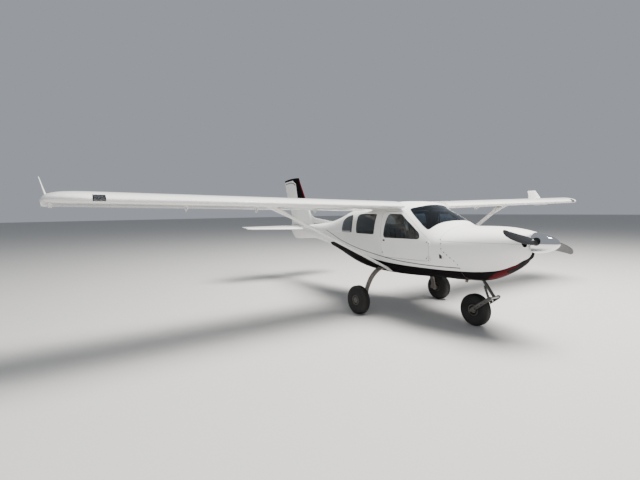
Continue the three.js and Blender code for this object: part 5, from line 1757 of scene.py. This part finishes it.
def puffed(piece):
    """Blows a block up into a cushion by cloth pressure."""
    remesh = piece.modifiers.new("remesh", "REMESH")
    remesh.mode = "VOXEL"
    remesh.voxel_size = VOXEL
    applied(piece)
    starts = [vertex.co.copy() for vertex in piece.data.vertices]
    cloth = piece.modifiers.new("cloth", "CLOTH")
    cloth.settings.use_pressure = True
    cloth.settings.uniform_pressure_force = PRESSURE
    cloth.settings.effector_weights.gravity = 0
    cloth.point_cache.frame_end = SIM_FRAMES
    for number in range(1, SIM_FRAMES + 1):
        bpy.context.scene.frame_set(number)
    applied(piece)
    bpy.context.scene.frame_set(1)
    for vertex, start in zip(piece.data.vertices, starts):
        move = vertex.co - start
        if move.length > PUFF_CAP:
            vertex.co = start + move * (PUFF_CAP / move.length)
    return piece


def seamed(piece, across, normal, places):
    """Presses sewn channels into a cushion, at places along an axis."""
    for vertex in piece.data.vertices:
        for place in places:
            away = (vertex.co[across] - place) / CHANNEL_HALF
            vertex.co -= normal * (CHANNEL_DEPTH * math.exp(-away * away))
    return piece


CHANNEL_HALF = 0.005
CHANNEL_DEPTH = 0.005
seat_shell = prism("shell", rounded(SEAT_SHELL, 0.03), *SEAT_Y)
carve(seat_shell, within=tool(fuselage_body("seat_room", 0.7, 1.6, SKIN + LINING_GAP)))
seat_shell = coated(rounded_edges(seat_shell, 0.008), moulded_grey)
pads = []
for name, outline, across, facing, places in (
    ("base_pad", BASE_PAD, 0, Vector((0.1, 0, 1)), (1.16, 1.28)),
    ("back_pad", BACK_PAD, 2, Vector((1, 0, 0.2)), (1.00, 1.12, 1.23)),
):
    pad = puffed(prism(name, outline, SEAT_Y[0] + PAD_INSET, SEAT_Y[1] - PAD_INSET))
    subdivision = pad.modifiers.new("smooth", "SUBSURF")
    subdivision.levels = subdivision.render_levels = 1
    applied(pad)
    seamed(pad, across, facing.normalized(), places)
    carve(pad, seat_shell)
    pads.append(coated(pad, seat_fabric))
print("Cushions:", [len(pad.data.vertices) for pad in pads], "points")

# %% [markdown]
# Webbing is modelled directly, because a remesh would erase it. Each strap follows a line of points found
# by casting rays onto the cushion, so it lies on the fabric and doesn't float over it.

# %% Belts
STRAP_HALF = 0.022
STRAP_THICK = 0.0016
STRAP_LIFT = 0.0012


def strap(name, pad, starts, direction, across):
    """A flat band that lies on a cushion, under a row of ray starts."""
    rings = []
    for start in starts:
        hit, place, facing, _ = pad.ray_cast(start, direction)
        if hit:
            low = place - direction * STRAP_LIFT
            high = low - direction * STRAP_THICK
            rings.append([low - across, low + across, high + across, high - across])
    return coated(loft(name, rings), belt_web)


straps = []
for y in (0.165, 0.340):
    starts = [Vector((1.30, y, z)) for z in steps(0.905, 1.290, 0.012)]
    straps.append(strap("shoulder_strap", pads[1], starts, -FORE, Y_AXIS * STRAP_HALF))
starts = [Vector((1.12, y, 1.2)) for y in steps(0.095, 0.410, 0.012)]
straps.append(strap("lap_strap", pads[0], starts, -UP, FORE * STRAP_HALF))
_, buckle_spot, _, _ = pads[0].ray_cast(Vector((1.12, 0.2525, 1.2)), -UP)
buckle_low = buckle_spot + Vector((-0.030, -0.024, 0.0030))
buckle = rounded_edges(block("buckle", buckle_low, buckle_low + Vector((0.060, 0.048, 0.012))), 0.003)
straps.append(coated(buckle, steel))
belts = joined("belts", straps)


def mirrored(piece, name):
    """The same piece on the other side of the cabin."""
    twin = copy_of(piece, name)
    work = bmesh.new()
    work.from_mesh(twin.data)
    for vertex in work.verts:
        vertex.co.y = -vertex.co.y
    bmesh.ops.reverse_faces(work, faces=work.faces)
    work.to_mesh(twin.data)
    work.free()
    return twin


names = ("seat_shell", "seat_base_pad", "seat_back_pad", "seat_belts")
for part, piece in zip(names, (seat_shell, *pads, belts)):
    twin = mirrored(piece, part + "_right")
    piece.name = part + "_left"
    for word, made in (("left", piece), ("right", twin)):
        nodes = ["seat_" + word] if part == "seat_shell" else []
        settled(made, "airframe", "cabin_trim" if part == "seat_shell" else "seat_fabric", *nodes, angle=50)

# %% [markdown]
# The instrument panel spans the cabin under a padded hood. Its dials are blank faces with small marks and a
# needle. There are many marks, screws and bolts on this aircraft, so Geometry Nodes set them: one tree puts
# a short round stud on each point, turned to the point's own facing direction.

# %% A tree that sets studs on points
def stud_tree():
    """Nodes that set a short round stud on each point of a mesh."""
    tree = bpy.data.node_groups.new("studs_on_points", "GeometryNodeTree")
    kinds = {"Radius": "Float", "Height": "Float", "Sides": "Int"}
    sockets = {}
    for word in ("Geometry", "Radius", "Height", "Sides", "Material"):
        kind = "NodeSocket" + kinds.get(word, word)
        socket = tree.interface.new_socket(word, in_out="INPUT", socket_type=kind)
        sockets[word] = socket.identifier
    tree.interface.new_socket("Geometry", in_out="OUTPUT", socket_type="NodeSocketGeometry")
    given = tree.nodes.new("NodeGroupInput").outputs
    stud = new_node(tree, "GeometryNodeMeshCylinder", Vertices=given["Sides"], Radius=given["Radius"],
                    Depth=given["Height"])
    facing = new_node(tree, "GeometryNodeInputNamedAttribute", Name="facing")
    facing.data_type = "FLOAT_VECTOR"
    align = new_node(tree, "FunctionNodeAlignRotationToVector", Vector=facing.outputs["Attribute"])
    align.axis = "Z"
    setter = new_node(tree, "GeometryNodeInstanceOnPoints", Points=given["Geometry"],
                      Instance=stud.outputs["Mesh"], Rotation=align.outputs["Rotation"])
    real = new_node(tree, "GeometryNodeRealizeInstances", Geometry=setter.outputs["Instances"])
    paint = new_node(tree, "GeometryNodeSetMaterial", Geometry=real.outputs["Geometry"],
                     Material=given["Material"])
    new_node(tree, "NodeGroupOutput", Geometry=paint.outputs["Geometry"])
    return tree, sockets


STUDS, STUD_SOCKETS = stud_tree()


def studs(name, spots, radius, height, material, sides=14):
    """A mesh of studs at (place, facing) spots."""
    points = mesh_piece(name, [spot for spot, _ in spots], [])
    facing = points.data.attributes.new("facing", "FLOAT_VECTOR", "POINT")
    for item, (_, direction) in zip(facing.data, spots):
        item.vector = direction
    modifier = points.modifiers.new("studs", "NODES")
    modifier.node_group = STUDS
    values = {"Radius": radius, "Height": height, "Sides": sides, "Material": material}
    for word, value in values.items():
        modifier[STUD_SOCKETS[word]] = value
    return coated(applied(points), material)


print("Stud tree:", len(STUDS.nodes), "nodes")

# %% Instrument panel
PANEL_X = (1.836, 1.866)
PANEL_Z = (0.990, 1.318)
HOOD = ((1.774, -0.410, 1.300), (1.902, 0.410, 1.322))
panel_inner = tool(fuselage_body("panel_inner", 1.5, 2.2, SKIN + LINING_GAP))
board = block("board", (PANEL_X[0], -0.6, PANEL_Z[0]), (PANEL_X[1], 0.6, PANEL_Z[1]))
carve(board, within=panel_inner)
hood = carve(rounded_edges(block("hood", *HOOD), 0.007), within=panel_inner)
parts = [coated(board, panel_black), coated(hood, panel_black)]
dials = [(y, z, 0.036) for y in (0.34, 0.25, 0.16) for z in (1.240, 1.150)]
dials += [(y, z, 0.026) for y in (-0.17, -0.24, -0.31) for z in (1.245, 1.175)]
ticks = []
for y, z, radius in dials:
    foot = Vector((PANEL_X[0] + 0.002, y, z))
    shares = [(1, 0), (1, 0.007), (0.88, 0.008), (0.84, 0.004), (0.84, 0)]
    bezel = [(radius * share, height) for share, height in shares]
    parts.append(coated(turned_ring("bezel", foot, -FORE, bezel, 36), moulded_grey))
    face = [(radius * 0.85, 0), (radius * 0.85, 0.0035)]
    parts.append(coated(turned("face", foot, -FORE, face, 36), dial_face))
    for angle in around(12):
        out = Vector((-0.0037, math.cos(angle), math.sin(angle)))
        spot = foot + Vector((out.x, out.y * radius * 0.68, out.z * radius * 0.68))
        ticks.append((spot, -FORE))
    needle_end = foot + Vector((-0.0042, radius * 0.35, radius * 0.45))
    needle = rod("needle", foot + Vector((-0.0042, 0, 0)), needle_end, 0.0009, 6)
    parts.append(coated(needle, mark_white))
for low, high in ((1.222, 1.282), (1.130, 1.212), (1.080, 1.120)):
    case = block("screen_case", (PANEL_X[0] - 0.006, -0.075, low), (PANEL_X[0] + 0.001, 0.075, high))
    parts.append(coated(rounded_edges(case, 0.002), panel_black))
    ends = ((PANEL_X[0] - 0.0068, -0.062, low + 0.010), (PANEL_X[0] - 0.0055, 0.050, high - 0.010))
    parts.append(coated(block("screen", *ends), screen_glass))
parts.append(studs("ticks", ticks, 0.0012, 0.0008, mark_white, 6))
settled(joined("panel_board", parts), "airframe", "cabin_trim", "instrument_panel")

# %% Tunnel and stick
tunnel = rounded_edges(block("tunnel", (1.420, -0.045, 0.6553), (1.820, 0.045, 0.790)), 0.014)
boot_line = [(0.036, 0), (0.036, 0.006), (0.024, 0.020), (0.015, 0.046)]
boot = turned("boot", Vector((1.500, 0, 0.786)), UP, boot_line)
stick = tube("stick", [(1.500, 0, 0.790), (1.512, 0, 0.850), (1.536, 0, 0.930), (1.560, 0, 1.006)], 0.011)
bar = rod("bar", (1.560, -0.055, 1.006), (1.560, 0.055, 1.006), 0.0105)
parts = [coated(tunnel, lining), coated(boot, seal_rubber)]
parts += [coated(stick, steel_dark), coated(bar, seal_rubber)]
settled(joined("stick_and_tunnel", parts), "airframe", "cabin_trim", "control_stick")
for node, material in (("cabin_floor", carpet), ("engine", engine_iron), ("firewall", steel_dark),
                       ("exhaust", exhaust_steel)):
    coated(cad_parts[node], material)

# %% [markdown]
# Each landing light is a clear piece of the wing's nose. Its inside is the same nose moved back a little,
# so the lens keeps an even wall. Two bright bowls stand behind it on a grey plate.

# %% Landing lights
LENS_WALL = 0.0035
LAMP_Y = (4.293, 4.341)
LAMP_Z = 1.7005
BOWL = [(0.003, 0.0), (0.012, 0.003), (0.0175, 0.012), (0.0190, 0.024), (0.0180, 0.024), (0.0165, 0.012),
        (0.011, 0.005), (0.003, 0.002)]
for word, side in SIDES.items():
    whole = whole_wings[word]
    lens = carve(copy_of(whole, "lamp_lens_" + word), within=lamp_room(side, 0))
    inside = tool(copy_of(whole, "lamp_inside"))
    inside.data.transform(Matrix.Translation((-LENS_WALL * 1.6, 0, 0)))
    low = (LAMP_REAR - 0.02, side * (LAMP_SPAN[0] + LENS_WALL), LAMP_LOW + LENS_WALL)
    high = (1.4, side * (LAMP_SPAN[1] - LENS_WALL), 1.9)
    carve(inside, within=tool(block("lamp_span", low, high)))
    carve(lens, inside)
    settled(coated(lens, lens_clear), "airframe", "lamp_glass", "landing_light_" + word)
    plate = block("lamp_plate", (LAMP_REAR + 0.0002, side * 4.0, 1.6), (LAMP_REAR + 0.0022, side * 4.6, 1.8))
    shrunk = tool(copy_of(inside, "lamp_plate_room"))
    shrunk.data.transform(Matrix.Translation((-0.004, 0, 0)))
    carve(plate, within=shrunk)
    parts = [coated(plate, moulded_grey)]
    for y in LAMP_Y:
        foot = Vector((LAMP_REAR + 0.0018, side * y, LAMP_Z))
        parts.append(coated(turned_ring("bowl", foot, FORE, BOWL, 32), chrome))
        bulb = turned("bulb", foot, FORE, [(0.004, 0), (0.004, 0.010), (0.002, 0.013)], 16)
        parts.append(coated(bulb, mark_white))
    settled(joined("lamp_fitting_" + word, parts), "airframe", "rim_metal")

# %% [markdown]
# The last pieces are small: door hinges, handles, locks, fuel caps, screws and bolts. They tell a viewer
# how big the aircraft is and how it comes apart.

# %% Door hinges, handles and locks
KNUCKLE_RADIUS = 0.009
KNUCKLE_HEIGHT = 0.024
TAB_LENGTH = 0.034
HANDLE_Z = 1.114
FRONT_LOCK = (0.956, 0.933)
REAR_LOCK = (0.300, 0.993)
# Body: side, x and y of the hinge axis, heights, and x of the handle
FRONT_FITTINGS = (1.853, 0.592, (0.908, 1.125), 0.998)
DOOR_FITTINGS = {
    "door_right": (-1, *FRONT_FITTINGS),
    "door_left": (1, *FRONT_FITTINGS),
    "door_rear_left": (1, 0.893, 0.607, (1.050, 1.380), 0.300),
}


def knuckle(side, x, y, z, on_leaf):
    """A knuckle with its tab into the skin: above the joint on the leaf, below it on the shell."""
    low, high = (0.0, KNUCKLE_HEIGHT) if on_leaf else (-KNUCKLE_HEIGHT, -0.0003)
    near, far = (x - 0.004, x - TAB_LENGTH) if on_leaf else (x + 0.004, x + TAB_LENGTH / 2)
    barrel = rod("barrel", (x, side * y, z + low), (x, side * y, z + high), KNUCKLE_RADIUS, 24)
    ends = sorted((side * (y + 0.003), side * (skin_y(x, z) - 0.009)))
    tab = block("tab", (min(near, far), ends[0], z + low), (max(near, far), ends[1], z + high))
    return [coated(barrel, paint_white), coated(rounded_edges(tab, 0.0015, 2), paint_white)]


shell_parts = []
shell_bolts = []
for body, (side, x, y, levels, handle_x) in DOOR_FITTINGS.items():
    leaf_parts = []
    bolts = []
    for z in levels:
        leaf_parts += knuckle(side, x, y, z, True)
        shell_parts += knuckle(side, x, y, z, False)
        bolts.append((Vector((x - 0.019, side * (y + 0.003), z + 0.009)), Vector((0, side, 0))))
        shell_bolts.append((Vector((x + 0.012, side * (y + 0.003), z - 0.009)), Vector((0, side, 0))))
    leaf_parts.append(studs("hinge_bolts", bolts, 0.0080, 0.004, seal_rubber))
    spot, _ = skin_spot(handle_x, HANDLE_Z, side)
    ends = sorted((spot.y - side * 0.004, spot.y + side * 0.007))
    low = (spot.x - 0.020, ends[0], spot.z - 0.012)
    handle = block("handle", low, (spot.x + 0.020, ends[1], spot.z + 0.012))
    leaf_parts.append(coated(rounded_edges(handle, 0.004), seal_rubber))
    lock_spot, out = skin_spot(*(FRONT_LOCK if handle_x > 0.5 else REAR_LOCK), side)
    lock = turned("lock", lock_spot - out * 0.002, out, [(0.009, 0), (0.009, 0.004), (0.007, 0.0052)])
    leaf_parts.append(coated(lock, seal_rubber))
    settled(joined(body + "_fittings", leaf_parts), body, "gear_steel")
shell_parts.append(studs("shell_bolts", shell_bolts, 0.0070, 0.004, seal_rubber))
settled(joined("shell_knuckles", shell_parts), "airframe", "gear_steel")

# %% Screws and bolts
COWL_SCREWS = [(2.003, 1.173), (2.028, 1.125), (2.036, 1.060), (2.075, 1.016), (2.112, 0.986),
               (2.152, 0.951), (2.196, 0.914), (2.234, 0.867), (2.246, 0.822), (2.245, 0.760)]
WHEEL_BOLTS = 6
BOLT_CIRCLE = 0.0325
HUB_IN = 0.020
screws = []
for side in (-1, 1):
    screws += [skin_spot(x, z, side) for x, z in COWL_SCREWS]
settled(studs("cowl_screws", screws, 0.0072, 0.0024, seal_rubber), "airframe", "gear_steel")
spinner_screws = []
for angle in around(10, 0.5):
    out = Vector((0.02, math.cos(angle), math.sin(angle)))
    if abs(out.z) > 0.4:
        radius = SPINNER_RADIUS * (1 - 0.075**1.9) ** 0.56
        spot = base + Vector((0.0233, out.y * radius, out.z * radius))
        spinner_screws.append((spot, out.normalized()))
settled(studs("spinner_screws", spinner_screws, 0.0035, 0.0016, steel_dark), "propeller", "gear_steel")
wheels = []
for word, side in SIDES.items():
    wheels.append(("wheel_" + word, Vector((AXLE.x, side * AXLE.y, AXLE.z)), side, MAIN_WIDTH))
wheels += [("nose_wheel", NOSE_AXLE, side, NOSE_WIDTH) for side in (-1, 1)]
for number, (body, centre, side, width) in enumerate(wheels):
    bolts = []
    for angle in around(WHEEL_BOLTS):
        reach = side * (width / 2 - HUB_IN)
        out = Vector((math.cos(angle) * BOLT_CIRCLE, reach, math.sin(angle) * BOLT_CIRCLE))
        bolts.append((centre + out, Vector((0, side, 0))))
    settled(studs(f"wheel_bolts_{number}", bolts, 0.0048, 0.007, screw_steel, 6), body, "gear_steel")

# %% Fuel caps
CAP_PLACE = (0.985, 0.880)
for word, side in SIDES.items():
    _, spot, out, _ = whole_wings[word].ray_cast(Vector((CAP_PLACE[0], side * CAP_PLACE[1], 2.0)), -UP)
    cap_line = [(0.036, 0), (0.036, 0.0035), (0.033, 0.005)]
    cap = turned("fuel_cap_" + word, spot - out * 0.002, out, cap_line, 40)
    low = spot + Vector((-0.022, -0.004, 0.002))
    grip = rounded_edges(block("grip", low, spot + Vector((0.022, 0.004, 0.010))), 0.0015, 2)
    parts = [coated(cap, steel), coated(grip, steel_dark)]
    settled(joined("fuel_cap_" + word, parts), "airframe", "gear_steel")

# %% [markdown]
# The stage is a pale floor under soft, even light, so nothing competes with the white paint. Area lights
# give broad highlights on the curved skin, and a pale world keeps the shadows open.

# %% Stage and light
FLOOR_HALF = 90
studio_floor = finish("studio_floor", (0.48, 0.475, 0.465), grain=3, gloss=(0.7, 0.85), bump=0, dust=0)
floor = coated(block("floor", (-FLOOR_HALF, -FLOOR_HALF, -0.02), (FLOOR_HALF, FLOOR_HALF, 0)), studio_floor)
world = bpy.data.worlds.new("studio")
bpy.context.scene.world = world
world.use_nodes = True
backdrop = world.node_tree.nodes["Background"]
fed(world.node_tree, backdrop, Color=(0.80, 0.86, 0.94, 1), Strength=0.42)


def area_light(name, place, target, size, power, colour, shines):
    """A soft square light that looks at a target, and may show in reflections."""
    lamp = bpy.data.lights.new(name, "AREA")
    lamp.size = size
    lamp.energy = power
    lamp.color = colour
    holder = bpy.data.objects.new(name, lamp)
    holder.location = place
    holder.rotation_euler = (Vector(place) - Vector(target)).to_track_quat("Z", "Y").to_euler()
    holder.visible_glossy = shines
    holder.visible_transmission = shines
    bpy.context.scene.collection.objects.link(holder)


area_light("key", (3.0, 3.0, 12.0), (0.5, 0.0, 1.0), 7.0, 6500, (1.0, 0.97, 0.93), False)
area_light("sparkle", (4.0, 2.0, 12.0), (1.0, 0.0, 1.0), 1.6, 260, (1.0, 0.99, 0.97), True)
area_light("fill", (9.0, -9.0, 6.0), (1.5, 0.0, 1.0), 8.0, 350, (0.96, 0.97, 1.0), False)

# %% Finish
for piece in cutting_tools:
    bpy.data.objects.remove(piece)
print("Triangles made here:", triangle_total)
